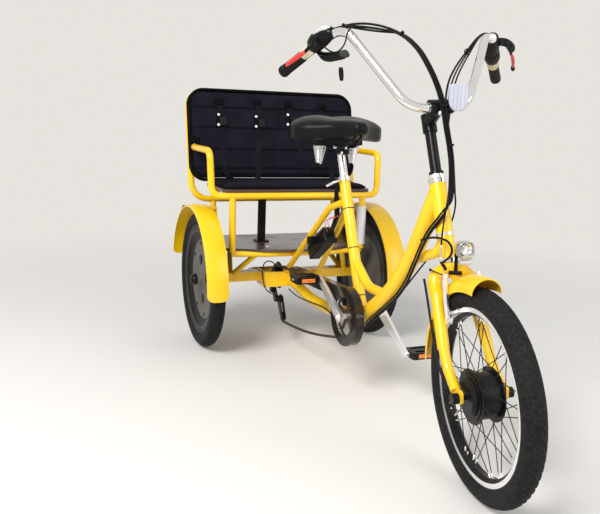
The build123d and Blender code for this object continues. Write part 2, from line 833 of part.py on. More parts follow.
def chain_guard():
    """A shallow tray outside the ring, with an arm that covers the chain's top run."""
    c = bracket_centre
    tip_x = guard_tip_x
    arm_points = [(c.X + 10, c.Z + guard_radius - 3), (tip_x + 14, 336), (tip_x, 318), (tip_x + 8, 296), (c.X - 40, 322)]
    inner_points = [
        (c.X + 10, c.Z + guard_radius - 3 - guard_wall), (tip_x + 15, 336 - guard_wall),
        (tip_x - 5, 318), (tip_x + 10, 296), (c.X - 40, 322),
    ]
    middle = Pos(c.X, c.Z)
    outer = middle * Circle(guard_radius) + make_face(Polyline(*arm_points, close=True))
    inner = middle * Circle(guard_radius - guard_wall) + make_face(Polyline(*inner_points, close=True))
    face = upright(outer - middle * Circle(guard_window), guard_outer, guard_wall)
    lip = upright(outer - inner, guard_outer, guard_deep)
    lip -= upright(chain_outline(chain_high + 4), guard_outer + guard_wall, 40)
    collar = -shell_width / 2 - 5
    hole = across(c.X, -60, 0, c.Z, spindle_diameter + 10)
    boss = across(c.X, collar, -shell_width / 2, c.Z, 44)
    reach = guard_radius - guard_wall / 2
    bracket = Pos(c.X, collar + 1.5, c.Z) * Rot(0, 60, 0) * Pos((reach + 14) / 2, 0, 0) * Box(reach - 14, 3, 18)
    return face + lip + (boss + bracket - hole)


# Front end, drawn straight ahead and turned at the end

def fork():
    race_low = (head_foot - head_top).length + headset_height + seat_gap
    steerer = rod(steering_point(-24), steering_point(race_low + 8), steerer_diameter)
    race = rod(steering_point(race_low), steering_point(race_low + 26), crown_diameter)
    parts = steerer + race
    crown = steering_point(race_low + 20)
    leg_x = wheelbase - 168
    bend_x = wheelbase - 92
    for side in (-1, 1):
        shoulder = bent([crown, (crown.X + 5, side * (shoulder_half + 2), crown.Z + 6),
                         (leg_x + 6, side * shoulder_half, 468)], leg_top_diameter, [34.0])
        leg = rod((leg_x + 1, side * (shoulder_half - 1), 480), (bend_x, side * fork_half, 350),
                  leg_top_diameter - 1.6, leg_low_diameter + 4)
        lower = bent([(bend_x - 5, side * fork_half, 362), (bend_x + 26, side * fork_half, 310),
                      (wheelbase - 18, side * fork_half, axle_height + 12)], leg_low_diameter, [60.0])
        plate = Pos(wheelbase - 6, side * fork_half, axle_height + 4) * Box(44, dropout_thick, 34)
        parts += shoulder + leg + lower + fillet(plate.edges().filter_by(Axis.Y), 10)
    slot = across(wheelbase, -90, 90, axle_height, front_axle_diameter)
    return parts - slot


def front_axle():
    axle = across(wheelbase, -axle_half, axle_half, axle_height, front_axle_diameter)
    nuts = []
    for side in (-1, 1):
        inner = side * (fork_half + dropout_thick / 2)
        ends = sorted((inner, side * axle_half))
        nuts.append(across(wheelbase, ends[0], ends[1], axle_height, nut_diameter))
    return axle + nuts


def stem():
    top = 184
    post = rod(steering_point(-24 - seat_gap), steering_point(-top + 6), 29)
    nut = rod(steering_point(-headset_height - seat_gap), steering_point(-32), 38)
    nut -= rod(steering_point(0), steering_point(-24 - seat_gap), steerer_diameter)
    head = rod(steering_point(-top + 44), steering_point(-top - 4), 38)
    arm = rod(steering_point(-top + 16), clamp_place, 34)
    clamp = across(clamp_place.X, -26, 26, clamp_place.Z, 40)
    bore = across(clamp_place.X, -40, 40, clamp_place.Z, bar_diameter + 2)
    return post + nut + head + arm + clamp - bore


def bar_points(side):
    """The corner points of one half of the bar, from the clamp to the grip's end."""
    points = []
    for forward, out, rise, bent_by in bar_corners:
        points.append(clamp_place + Vector(forward, side * out, rise - side * bent_by))
    return points


def handlebar():
    halves = [bent(bar_points(side), bar_diameter, bar_radii) for side in (-1, 1)]
    middle = across(clamp_place.X, -26, 26, clamp_place.Z, bar_diameter + 2)
    return halves[0] + halves[1] + middle


def bar_frame(side, distance):
    """The place on one grip's straight run at a distance from its end, z along the bar."""
    corner, end = bar_points(side)[-2:]
    run = (corner - end).normalized()
    return Plane(origin=end + run * distance, z_dir=run, x_dir=(0, 0, 1))


def along_bar(side, start, length, diameter):
    """A barrel on one grip's straight run."""
    return bar_frame(side, start) * Cylinder(diameter / 2, length, align=(Align.CENTER, Align.CENTER, Align.MIN))


def bar_core(side):
    return along_bar(side, 0, 320, bar_diameter)


def grips():
    return Part() + [along_bar(side, -4, grip_length, grip_diameter) - bar_core(side) for side in (-1, 1)]


def control_housings():
    housings = []
    for side in (-1, 1):
        barrel = along_bar(side, grip_length - 4 + seat_gap, 36, 44)
        perch = along_bar(side, housing_place, 24, 34)
        arm = bar_frame(side, lever_place) * Pos(0, -side * 24, 0) * Box(20, 40, 20)
        housings.append(barrel + perch + arm - bar_core(side))
    return Part() + housings


def brake_levers():
    reach = 24 + 20 + seat_gap
    levers = []
    for side in (-1, 1):
        points = [(0, reach, 0), (0, reach + 22, 0), (0, reach + 26, -112)]
        points = [(x, -side * y, z) for x, y, z in points]
        levers.append(bar_frame(side, lever_place) * bent(points, 11, [18.0]))
    return Part() + levers


def headlamp():
    middle = Vector(wheelbase - 142, 13, 584)
    shell = fillet((Pos(middle) * Box(40, 41, 46)).edges(), 9)
    bracket = block((middle.X - 26, 9, 512), (middle.X - 14, 17, 572))
    foot = block((middle.X - 36, 9, 512), (middle.X - 14, 17, 524))
    return shell + (bracket + foot - fork())


def front_reflector():
    place = clamp_place + Vector(34, 38, 24)
    shield = fillet((Pos(place) * Box(10, 52, 66)).edges(), 4)
    clip = across(clamp_place.X, 27, 40, clamp_place.Z, bar_diameter + 8)
    arm = block((clamp_place.X + 8, 29, clamp_place.Z + 4), (place.X - 2, 38, clamp_place.Z + 14))
    return shield + arm + clip - handlebar()


def front_mudguard():
    section = crowned(front_guard_inner, front_guard_thick, front_guard_wide, front_guard_drop)
    guard = Pos(wheelbase, 0, axle_height) * arch(section, front_guard_start, front_guard_sweep)
    angle = radians(front_guard_start + 34)
    radius = front_guard_inner + front_guard_thick
    seat = Vector(wheelbase + radius * cos(angle), 0, axle_height + radius * sin(angle))
    crown = steering_point((head_foot - head_top).length + headset_height + 24)
    bracket = rod(seat - (crown - seat).normalized() * 2, crown, 14)
    return guard + (bracket - fork() - guard) - fork()


def brake_arms():
    arms = []
    top_x = wheelbase - 116
    low_x = wheelbase - 98
    for side in (-1, 1):
        arms.append(bent([(low_x, side * 44, 416), (low_x - 12, side * 47, 470), (top_x - 8, side * 43, 530)],
                         12, [60.0]))
        pad = Pos(wheelbase, side * (rim_width / 2 + 6), axle_height) * Rot(0, -119.5, 0) * Pos(205, 0, 0)
        arms.append(pad * Box(9, 10, 44))
        z = axle_height + 205 * sin(radians(119.5))
        ends = sorted((side * (rim_width / 2 + 8), side * 46))
        arms.append(across(wheelbase + 205 * cos(radians(119.5)), ends[0], ends[1], z, 10))
        ends = sorted((side * 36, side * 50))
        arms.append(across(low_x, ends[0], ends[1], 418, 16))
    return Part() + arms - fork()


def cord(points, diameter):
    """A cable: straight runs joined by the largest arcs that they allow. It prints the smallest radius."""
    places = [Vector(*point) for point in points]
    radii = []
    for before, corner, after in zip(places, places[1:], places[2:]):
        turn = radians((corner - before).get_angle(after - corner))
        shorter = min((corner - before).length, (after - corner).length)
        radii.append(0.45 * shorter / tan(turn / 2))
    print("cable", diameter, "smallest radius", round(min(radii), 1))
    return bent(points, diameter, radii)


def handlebar_cables():
    """The bundle from the right control over the bar and down to the head tube, and the motor's lead."""
    # Bundle: places from the clamp. Lead: places along the machine from the front axle, and from the ground
    bundle = [
        (-199, -232, 214), (-165, -210, 232), (-127, -168, 236), (-85, -122, 220), (-45, -84, 188),
        (-11, -52, 148), (11, -30, 104), (23, -14, 56), (29, -6, 4), (32, 1, -46), (36, 14, -94),
        (42, 19, -140), (48, 17, -182), (53, 10, -214), (58, 2, -236),
    ]
    lead = [
        (-179, -75, 508), (-162, -74, 470), (-127, -77, 408), (-93, -79.5, 352), (-65, -79, 310),
        (-39, -78, 286), (-21, -77, 278),
    ]
    bundle = cord([clamp_place + Vector(*point) for point in bundle], 11)
    return bundle + cord([Vector(wheelbase + x, y, z) for x, y, z in lead], 6)


def frame_cables():
    """The bundle that crosses the head tube's right side and follows the underside of the main tube."""
    # Places: share of the way from the bottom bracket to the head tube's foot, side, height
    route = [
        (0.982, -17, 672), (0.952, -27, 648), (0.894, -33, 614), (0.823, -30, 576), (0.741, -22, 518),
        (0.629, -14, 446), (0.508, -10, 392), (0.382, -8, 348), (0.240, -8, 300), (0.110, -8, 254),
    ]
    span = head_foot.X - bracket_centre.X
    return cord([Vector(bracket_centre.X + share * span, y, z) for share, y, z in route], 10)


turn_axis = Axis(head_top, head_foot - head_top)


def steered(part):
    """The front end turned to where it rests in the photograph."""
    return part.rotate(turn_axis, -rest_steer)


def at_rear(part, side):
    place = Pos(0, side * track / 2, axle_height)
    return place * (part if side < 0 else mirrored(part))


front_wheel_place = Pos(wheelbase, 0, axle_height)

fixed = {
    "head_tube": head_tube, "headset": headset, "main_tube": main_tube, "seat_tube": seat_tube,
    "frame_brace": frame_brace, "seat_stays": seat_stays, "chain_stay": chain_stay,
    "seat_post": seat_post, "saddle_frame": saddle_frame, "saddle": saddle, "axle_beam": axle_beam,
    "axle_stubs": axle_stubs, "mudguard_stays": mudguard_stays, "cassette": cassette, "chain": chain,
    "derailleur": derailleur,
    "deck": deck, "deck_frame": deck_frame, "bench_legs": bench_legs, "leg_sleeve": leg_sleeve,
    "bench_post": bench_post, "bench_rail": bench_rail, "back_frame": back_frame,
    "back_cushion": back_cushion, "seat_frame": seat_frame, "seat_board": seat_board,
    "seat_cushion": seat_cushion, "seat_straps": seat_straps, "rear_mudguards": rear_mudguards,
    "tail_reflector": tail_reflector, "controller": controller, "chain_guard": chain_guard,
    "frame_cables": frame_cables, "crankset": crankset, "chainring": chainring,
}
steering = {
    "fork": fork, "front_axle": front_axle, "stem": stem, "handlebar": handlebar, "grips": grips,
    "control_housings": control_housings, "brake_levers": brake_levers, "headlamp": headlamp,
    "front_reflector": front_reflector, "front_mudguard": front_mudguard, "brake_arms": brake_arms,
    "handlebar_cables": handlebar_cables,
}

nodes = {name: make() for name, make in fixed.items()}
for side, word in ((-1, "right"), (1, "left")):
    nodes[f"pedal_{word}"] = pedal(side)
    nodes[f"pedal_reflectors_{word}"] = pedal_reflectors(side)
    nodes[f"rear_tyre_{word}"] = at_rear(tyre(), side)
    nodes[f"rear_wheel_{word}"] = at_rear(rear_wheel(), side)
for name, make in steering.items():
    nodes[name] = steered(make())
nodes["front_tyre"] = steered(front_wheel_place * tyre())
nodes["front_rim"] = steered(front_wheel_place * turned(rim_points()))
nodes["front_spokes"] = steered(front_wheel_place * front_spokes())
nodes["hub_motor"] = steered(front_wheel_place * hub_motor())

origin_shift = Pos(-(wheelbase + tyre_diameter / 2 - guard_outer_radius) / 2, 0, 0)
os.makedirs("parts", exist_ok=True)
for name, part in nodes.items():
    export_step(origin_shift * part, f"parts/{name}.step")
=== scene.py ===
"""The looks of an electric tricycle with a passenger bench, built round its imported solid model."""
# %% [markdown]
# # An electric tricycle, dressed
# The solid model gives every part its size and place. This script gives the parts their surfaces,
# and adds what is too soft or too small for a solid model: cloth, cables, tread, links and bolts.

import json
import math

import bpy
import numpy as np
from mathutils import Matrix, Vector


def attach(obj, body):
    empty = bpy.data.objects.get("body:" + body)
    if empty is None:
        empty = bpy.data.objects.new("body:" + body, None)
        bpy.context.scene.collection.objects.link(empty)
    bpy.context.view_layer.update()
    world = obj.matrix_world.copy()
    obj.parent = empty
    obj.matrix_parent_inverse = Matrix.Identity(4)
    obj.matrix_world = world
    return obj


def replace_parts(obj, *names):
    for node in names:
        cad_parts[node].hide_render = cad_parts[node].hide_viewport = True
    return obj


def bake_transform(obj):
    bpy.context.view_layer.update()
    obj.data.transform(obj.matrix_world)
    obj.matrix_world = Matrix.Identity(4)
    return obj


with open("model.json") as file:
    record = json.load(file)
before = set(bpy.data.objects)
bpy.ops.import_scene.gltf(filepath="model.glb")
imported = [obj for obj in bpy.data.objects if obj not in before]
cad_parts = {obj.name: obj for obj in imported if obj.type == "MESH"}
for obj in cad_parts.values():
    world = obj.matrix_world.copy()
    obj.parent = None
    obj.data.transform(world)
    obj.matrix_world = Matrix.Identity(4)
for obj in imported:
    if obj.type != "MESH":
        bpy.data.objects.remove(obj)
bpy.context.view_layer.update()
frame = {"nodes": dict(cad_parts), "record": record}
nodes = frame["nodes"]
print("pieces in the solid model:", len(nodes))

# %% [markdown]
# ## Places
# The solid model was drawn in millimetres from the middle of the rear axle, and then moved back so that
# its origin is under its own middle. One function carries drawing places into metres in that frame.
# The fork stands turned a little to one side, so whatever turns with it goes through a second function.

# %% Drawing places
REAR_AXLE = 648.5
WHEELBASE = 1325.0
HALF_TRACK = 351.25
AXLE_HEIGHT = 260.0
HEAD_TOP = np.array([1049.0, 0.0, 732.0])
HEAD_FOOT = np.array([1124.0, 0.0, 549.0])
STEER_ANGLE = math.radians(-9.5)
SIDES = ((-1, "right"), (1, "left"))
FORE, LEFT, UP = np.eye(3)


def unit(vectors):
    """Vectors divided by their own lengths."""
    v = np.asarray(vectors, float)
    return v / np.linalg.norm(v, axis=-1, keepdims=True)


STEER_UP = unit(HEAD_TOP - HEAD_FOOT)


def metres(points):
    """Drawing millimetres to metres: subtract the origin's place, then divide by a thousand."""
    return (np.asarray(points, float) - [REAR_AXLE, 0, 0]) / 1000


def turned(vectors, axis, angle):
    """Rodrigues' turn: the part along the axis stays, and the rest turns by the angle."""
    v = np.asarray(vectors, float)
    along = (v @ axis)[..., None] * axis
    return along + (v - along) * math.cos(angle) + np.cross(axis, v) * math.sin(angle)


def steered(points):
    """Drawing places on the straight fork, turned with it about the steering axis, in metres."""
    return metres(HEAD_TOP + turned(np.asarray(points, float) - HEAD_TOP, STEER_UP, STEER_ANGLE))


print("front wheel centre:", steered([WHEELBASE, 0, AXLE_HEIGHT]).round(4))

# %% [markdown]
# ## Camera
# The camera stands where the photographer stood. Its place and its three angles were worked out from
# the wheels, which are round and all one size. Turning the camera's own axes is plain trigonometry.

# %% Camera
CAMERA_PLACE = (2.66049391 - REAR_AXLE / 1000, -1.03656888, 0.8998081)
CAMERA_YAW = -3.52975139
CAMERA_PITCH = 0.195987761
CAMERA_ROLL = 0.0369988158
LENS = 43.568
FILM_WIDTH = 36.0

ahead = np.array([math.cos(CAMERA_YAW) * math.cos(CAMERA_PITCH),
                  math.sin(CAMERA_YAW) * math.cos(CAMERA_PITCH), -math.sin(CAMERA_PITCH)])
level = np.array([math.sin(CAMERA_YAW), -math.cos(CAMERA_YAW), 0.0])
camera_right = turned(level, -ahead, CAMERA_ROLL)
camera_up = np.cross(camera_right, ahead)
camera = bpy.data.objects.new("camera", bpy.data.cameras.new("camera"))
bpy.context.scene.collection.objects.link(camera)
axes = np.eye(4)
axes[:3, :3] = np.stack([camera_right, camera_up, -ahead], axis=1)
axes[:3, 3] = CAMERA_PLACE
camera.matrix_world = Matrix(axes.tolist())
camera.data.lens = LENS
camera.data.sensor_width = FILM_WIDTH
camera.data.sensor_fit = "HORIZONTAL"
bpy.context.scene.camera = camera
bpy.context.scene.view_settings.view_transform = "Standard"
print("camera lens in mm:", camera.data.lens)

# %% [markdown]
# ## Shader maths
# Blender's shaders are graphs of nodes. Written by hand, each sum or product is a Math node and two links.
# A small class wraps a socket, so that an ordinary expression adds those nodes by itself.


# %% Shader maths
class Value:
    """One output of a shader graph. Arithmetic on it adds Math nodes."""

    def __init__(self, graph, socket):
        self.graph = graph
        self.socket = socket

    def math(self, operation, *others, clamp=False):
        """One Math node on this value and the others."""
        settings = {"operation": operation, "use_clamp": clamp}
        return self.graph.node("ShaderNodeMath", settings, dict(enumerate((self, *others))))[0]

    def __add__(self, other):
        return self.math("ADD", other)

    __radd__ = __add__

    def __mul__(self, other):
        return self.math("MULTIPLY", other)

    __rmul__ = __mul__

    def __sub__(self, other):
        return self.math("SUBTRACT", other)

    def __rsub__(self, other):
        return (self * -1).math("ADD", other)

    def __truediv__(self, other):
        return self.math("DIVIDE", other)

    def __pow__(self, other):
        return self.math("POWER", other)

    def clamped(self):
        """The value kept between 0 and 1."""
        return self.math("ADD", 0.0, clamp=True)

    def ramp(self, low, high):
        """0 below low, 1 above high and a straight line between them."""
        return ((self - low) / (high - low)).clamped()


class Graph:
    """A graph of shader nodes that more are added to."""

    def __init__(self, tree):
        self.tree = tree

    def node(self, kind, settings=None, inputs=None):
        """Adds any node: its settings first, then the values or links of its sockets."""
        made = self.tree.nodes.new(kind)
        for key, value in (settings or {}).items():
            setattr(made, key, value)
        for key, value in (inputs or {}).items():
            self.plug(made.inputs[key], value)
        return Outputs(self, made)

    def plug(self, socket, value):
        """Links a value to a socket, or writes a plain number or colour on it."""
        if isinstance(value, Value):
            self.tree.links.new(value.socket, socket)
        else:
            socket.default_value = value

    def show(self, output, surface):
        """Links the finished surface to the graph's own output node."""
        self.plug(self.tree.nodes[output].inputs["Surface"], surface)


finishes = {}


class Finish(Graph):
    """A material under construction, kept by its name in the table of finishes."""

    def __init__(self, name):
        material = bpy.data.materials.new(name)
        material.use_nodes = True
        finishes[name] = material
        super().__init__(material.node_tree)
        self.shader = self.tree.nodes["Principled BSDF"]
        self.place = self.node("ShaderNodeTexCoord")["Object"]

    def set(self, **inputs):
        """Values or links for the surface shader, by socket name with _ for a space."""
        for key, value in inputs.items():
            self.plug(self.shader.inputs[key.replace("_", " ")], value)

    def noise(self, scale, detail=3.0, stretch=None):
        """Cloudy noise with so many lumps a metre, drawn out along an axis where it is stretched."""
        vector = self.place
        if stretch:
            vector = self.node("ShaderNodeMapping", {}, {"Vector": vector, "Scale": stretch})[0]
        inputs = {"Vector": vector, "Scale": scale, "Detail": detail}
        return self.node("ShaderNodeTexNoise", {}, inputs)[0]

    def mix(self, factor, first, second):
        """One colour where the factor is 0, the other where it is 1."""
        inputs = {0: factor, 6: colour(first), 7: colour(second)}
        return self.node("ShaderNodeMix", {"data_type": "RGBA"}, inputs)[2]

    def bump(self, height, distance, strength=1.0):
        """Tilts the surface as if the height stood out by the distance."""
        inputs = {"Height": height, "Distance": distance, "Strength": strength}
        self.set(Normal=self.node("ShaderNodeBump", {}, inputs)[0])

    def along(self, axis):
        """One coordinate of the surface point, in metres."""
        return self.node("ShaderNodeSeparateXYZ", {}, {0: self.place})[axis]


class Outputs:
    """The outputs of a node, by number or by name."""

    def __init__(self, graph, made):
        self.graph = graph
        self.made = made

    def __getitem__(self, key):
        return Value(self.graph, self.made.outputs[key])


def colour(value):
    """A colour with its alpha, or a link as it is."""
    return value if isinstance(value, Value) else (*value[:3], 1.0)


# %% [markdown]
# ## Finishes
# Most parts are a base colour that wanders a little, with dust that gathers near the ground and fine
# scratches that catch the light. One recipe makes all of those, from a table of numbers. Rust comes
# through where two noises meet. Cloth, rubber, board and lenses follow with recipes of their own.

# %% The common recipe
DUST = (0.36, 0.31, 0.25)
RUST = (0.20, 0.075, 0.025)
DUST_HEIGHT = 0.55
DARK_GLOSS = 0.10
PLAIN_GLOSS = 0.5


def common(name, base, second, rough, metallic=0.0, coat=0.0, dust=0.3, rust=0.0, grain=0.0):
    """Two colours mixed by broad noise, then dust, which fades out with height, then rust."""
    finish = Finish(name)
    broad = finish.noise(7.0, 4.0)
    fine = finish.noise(160.0, 3.0)
    low = 1 - finish.along(2).ramp(0.0, DUST_HEIGHT)
    dusty = (finish.noise(34.0, 5.0).ramp(0.42, 0.75) * low * dust).clamped()
    rusty = finish.noise(58.0, 6.0).ramp(0.60, 0.70) * broad.ramp(0.48, 0.62) * rust
    shade = finish.mix(broad.ramp(0.3, 0.7), base, second)
    shade = finish.mix(dusty, shade, DUST)
    shade = finish.mix(rusty, shade, RUST)
    scratches = finish.noise(40.0, 2.0, (1.0, 9.0, 1.0)).ramp(0.60, 0.66) * 0.10
    finish.set(Base_Color=shade, Metallic=metallic * (1 - rusty))
    finish.set(Roughness=fine * 0.10 + (rough - 0.05) + dusty * 0.35 + rusty * 0.5 + scratches)
    finish.set(Coat_Weight=coat, Coat_Roughness=0.06,
               Specular_IOR_Level=DARK_GLOSS if max(base) < 0.1 else PLAIN_GLOSS)
    if grain:
        finish.bump(fine + rusty, grain)


# name, base colour, second colour, roughness, metallic, coat, dust, rust, grain
RECIPES = [
    ("yellow_paint", (0.96, 0.60, 0.0), (0.94, 0.54, 0.0), 0.30, 0.0, 0.25, 0.16, 0.14, 0.0001),
    ("chrome", (0.86, 0.86, 0.87), (0.78, 0.78, 0.80), 0.13, 1.0, 0.0, 0.10, 0.25, 0.00004),
    ("alloy", (0.92, 0.92, 0.93), (0.86, 0.86, 0.88), 0.30, 0.9, 0.0, 0.02, 0.0, 0.00002),
    ("steel", (0.15, 0.125, 0.10), (0.075, 0.055, 0.042), 0.42, 0.85, 0.0, 0.30, 0.70, 0.0002),
    ("black_paint", (0.004, 0.004, 0.005), (0.009, 0.009, 0.010), 0.30, 0.0, 0.10, 0.04, 0.0, 0.0001),
    ("black_plastic", (0.004, 0.004, 0.0045), (0.008, 0.008, 0.009), 0.34, 0.0, 0.10, 0.10, 0.0, 0.0003),
    ("red_plastic", (0.70, 0.018, 0.014), (0.60, 0.015, 0.012), 0.25, 0.0, 0.5, 0.0, 0.0, 0.0),
    ("dark_lens", (0.070, 0.018, 0.018), (0.045, 0.012, 0.014), 0.22, 0.0, 0.6, 0.25, 0.0, 0.0),
    ("cable_rubber", (0.006, 0.006, 0.007), (0.012, 0.012, 0.013), 0.40, 0.0, 0.0, 0.08, 0.0, 0.0001),
    ("cream_rubber", (0.66, 0.58, 0.36), (0.58, 0.50, 0.30), 0.55, 0.0, 0.0, 0.10, 0.0, 0.0002),
    ("dark_disc", (0.030, 0.030, 0.032), (0.060, 0.059, 0.058), 0.45, 0.0, 0.0, 0.20, 0.0, 0.0003),
    ("guard_black", (0.013, 0.009, 0.006), (0.022, 0.015, 0.010), 0.15, 0.0, 0.5, 0.04, 0.0, 0.0),
    ("orange_wire", (0.80, 0.22, 0.03), (0.60, 0.12, 0.03), 0.40, 0.0, 0.0, 0.05, 0.0, 0.0),
    ("white_sleeve", (0.80, 0.80, 0.82), (0.70, 0.70, 0.72), 0.35, 0.0, 0.2, 0.10, 0.0, 0.0001),
    ("lamp_case", (0.42, 0.42, 0.43), (0.34, 0.34, 0.35), 0.28, 0.6, 0.3, 0.0, 0.0, 0.0001),
    ("amber_strip", (0.46, 0.40, 0.27), (0.38, 0.32, 0.20), 0.15, 0.0, 0.5, 0.0, 0.0, 0.0),
    ("clear_prism", (0.62, 0.63, 0.62), (0.50, 0.51, 0.50), 0.18, 0.0, 0.4, 0.0, 0.0, 0.0),
]
FIELDS = ("base", "second", "rough", "metallic", "coat", "dust", "rust", "grain")
for row in RECIPES:
    common(row[0], **dict(zip(FIELDS, row[1:])))
print("finishes from the common recipe:", len(finishes))

# %% [markdown]
# ### Woven cloth
# The bench is covered in a blue-black woven cloth. Threads are far smaller than a pixel, so a weave is two
# sine waves that cross, as a bump, with a slow change of colour on top, and a sheen that lifts the edges.


# %% Woven cloth
def woven(name, base, second, threads, rough=0.78):
    """Threads cross as sin y times sin z, and worn places are paler and smoother."""
    finish = Finish(name)
    across = (finish.along(1) * threads).math("SINE")
    up = (finish.along(2) * threads).math("SINE")
    weave = across * up * 0.5 + 0.5
    worn = finish.noise(16.0, 5.0).ramp(0.35, 0.75)
    finish.set(Base_Color=finish.mix(worn, base, second), Roughness=rough - worn * 0.10)
    finish.set(Sheen_Weight=0.01, Specular_IOR_Level=0.08)
    finish.bump(weave + finish.noise(420.0, 2.0) * 0.5, 0.0003, 0.6)


woven("bench_cloth", (0.0055, 0.0055, 0.0105), (0.010, 0.0095, 0.018), 5200.0)
woven("piping_cloth", (0.0015, 0.0015, 0.002), (0.003, 0.003, 0.004), 5200.0)
woven("webbing", (0.003, 0.004, 0.006), (0.008, 0.010, 0.014), 3400.0, 0.55)

# %% [markdown]
# ### Rubber, board, saddle cover, lenses and discs
# Tyre rubber is dull and grey with fine dust in patches. The boards are plywood with a smooth dark film,
# which shows faint long grain. The saddle cover is a fine-grained vinyl. The lenses are ribbed or clear
# plastic.
# A rear disc is a grey plate inside a black ring, so its colour goes by the distance from the axle.


# %% Rubber, board, saddle cover, lenses and discs
def disc_paint():
    """A grey plate inside 152 mm, a painted highlight on the rim's edge near 186 mm and black between, by the
    distance from the axle.
    """
    finish = Finish("disc_paint")
    x, z = finish.along(0) + REAR_AXLE / 1000, finish.along(2) - AXLE_HEIGHT / 1000
    radius = (x * x + z * z) ** 0.5
    # the grey band near 186 mm is a painted highlight on the rim's edge, not bare metal
    painted_rim_highlight = radius.ramp(0.183, 0.184) * (1 - radius.ramp(0.188, 0.189))
    worn = finish.noise(14.0, 5.0).ramp(0.3, 0.7)
    plate = finish.mix(worn, (0.085, 0.078, 0.068), (0.130, 0.120, 0.105))
    shade = finish.mix(radius.ramp(0.1515, 0.1525), plate, (0.006, 0.006, 0.007))
    finish.set(Base_Color=finish.mix(painted_rim_highlight * 0.5, shade, (0.12, 0.12, 0.12)), Roughness=0.40 + worn * 0.1)
    finish.set(Specular_IOR_Level=0.20)
    finish.bump(finish.noise(180.0, 3.0), 0.0003, 0.4)


def tyre_rubber():
    """Black wears to grey where one noise is high, and fine dust lies where another is."""
    finish = Finish("tyre_rubber")
    worn = finish.noise(22.0, 5.0).ramp(0.35, 0.72)
    dusty = finish.noise(120.0, 4.0).ramp(0.48, 0.70) * 0.18
    shade = finish.mix(worn, (0.007, 0.007, 0.008), (0.014, 0.014, 0.014))
    finish.set(Base_Color=finish.mix(dusty, shade, (0.075, 0.068, 0.058)), Roughness=0.62 + worn * 0.18)
    finish.set(Specular_IOR_Level=0.14)
    finish.bump(finish.noise(700.0, 2.0), 0.0004, 0.5)


def film_board():
    """Noise drawn out along the board is its grain, and a broad smear pales and dulls it."""
    finish = Finish("film_board")
    grain = finish.noise(30.0, 6.0, (1.0, 0.06, 1.0))
    shade = finish.mix(grain.ramp(0.35, 0.65), (0.045, 0.024, 0.018), (0.080, 0.046, 0.036))
    smear = finish.noise(9.0, 5.0).ramp(0.5, 0.75) * 0.4
    finish.set(Base_Color=finish.mix(smear, shade, (0.17, 0.14, 0.12)), Roughness=0.20 + smear * 0.5)
    finish.bump(grain, 0.0002, 0.4)


def saddle_cover():
    """Voronoi cells are the grain of the vinyl, and worn places are smoother."""
    finish = Finish("saddle_cover")
    cells = finish.node("ShaderNodeTexVoronoi", {}, {"Vector": finish.place, "Scale": 620.0})[0]
    worn = finish.noise(11.0, 4.0).ramp(0.35, 0.7)
    shade = finish.mix(worn, (0.003, 0.003, 0.004), (0.006, 0.006, 0.008))
    finish.set(Base_Color=shade, Roughness=0.38 - worn * 0.06, Specular_IOR_Level=0.16)
    finish.bump(cells, 0.0003, 0.5)


def grip_rubber():
    """A slow change of colour, a finer one of roughness, and very fine noise as a bump."""
    finish = Finish("grip_rubber")
    finish.set(Base_Color=finish.mix(finish.noise(60.0), (0.003, 0.003, 0.0035), (0.007, 0.007, 0.008)))
    finish.set(Roughness=finish.noise(300.0) * 0.1 + 0.48, Specular_IOR_Level=0.18)
    finish.bump(finish.noise(900.0, 2.0), 0.0003, 0.5)


def ribbed_lens(name, base, rough, ribs, see_through, depth=0.28):
    """Ribs are a sine wave across the lens, with painted shade in their valleys, darker by the depth."""
    finish = Finish(name)
    wave = (finish.along(1) * ribs).math("SINE") * 0.5 + 0.5
    # the valleys of the ribs are painted darker: painted shade in the recesses
    finish.set(Base_Color=finish.mix(wave, base, tuple(c * (1 - depth) for c in base)), Roughness=rough)
    finish.set(Coat_Weight=0.6, Transmission_Weight=see_through)
    finish.bump(wave, 0.001, 0.7)


disc_paint()
tyre_rubber()
film_board()
saddle_cover()
grip_rubber()
ribbed_lens("pale_lens", (0.50, 0.51, 0.60), 0.25, 620.0, 0.0, 0.16)
ribbed_lens("orange_lens", (0.90, 0.24, 0.02), 0.20, 1400.0, 0.0)
ribbed_lens("lamp", (0.62, 0.63, 0.66), 0.16, 1200.0, 0.25)
print("finishes in all:", len(finishes))

# %% [markdown]
# ## Dress the solid model
# The record says which finish each solid part takes. A few parts differ from their neighbours, such as the
# white sleeve on a bench leg and the glossy chain guard, and are named in a short table.

# %% Dress the solid model
OTHER_FINISH = {"leg_sleeve": "white_sleeve", "chain_guard": "guard_black"}
for part in frame["record"]["subparts"]:
    node = nodes[part["node"]]
    finish_name = OTHER_FINISH.get(part["node"], part["material_slot"])
    node.data.materials.clear()
    node.data.materials.append(finishes[finish_name])

# %% [markdown]
# ## Surfaces on a grid
# Every new piece is a grid of points: a function of two parameters, worked out as one array. The faces join
# each point to its neighbours, and wrap round where the grid is closed. A closed shape has a signed volume,
# the sum of its small pyramids from the origin. If that is negative its faces look inwards and are turned.


# %% Surfaces on a grid
def grid_faces(rows, columns, closed_rows):
    """Four-sided faces between neighbours: (i, j), (i + 1, j), (i + 1, j + 1), (i, j + 1), with the last
    column joined to the first."""
    i, j = np.meshgrid(np.arange(rows - (not closed_rows)), np.arange(columns), indexing="ij")
    after_i, after_j = (i + 1) % rows, (j + 1) % columns
    corners = [i * columns + j, after_i * columns + j, after_i * columns + after_j, i * columns + after_j]
    return np.stack(corners, axis=-1).reshape(-1, 4)


def outward(points, faces):
    """Turns the faces round if the closed shape's signed volume is negative."""
    a, b, c, d = (points[faces[:, k]] for k in range(4))
    volume = (np.cross(b - a, c - a) * a).sum() + (np.cross(c - a, d - a) * a).sum()
    return faces[:, ::-1] if volume < 0 else faces


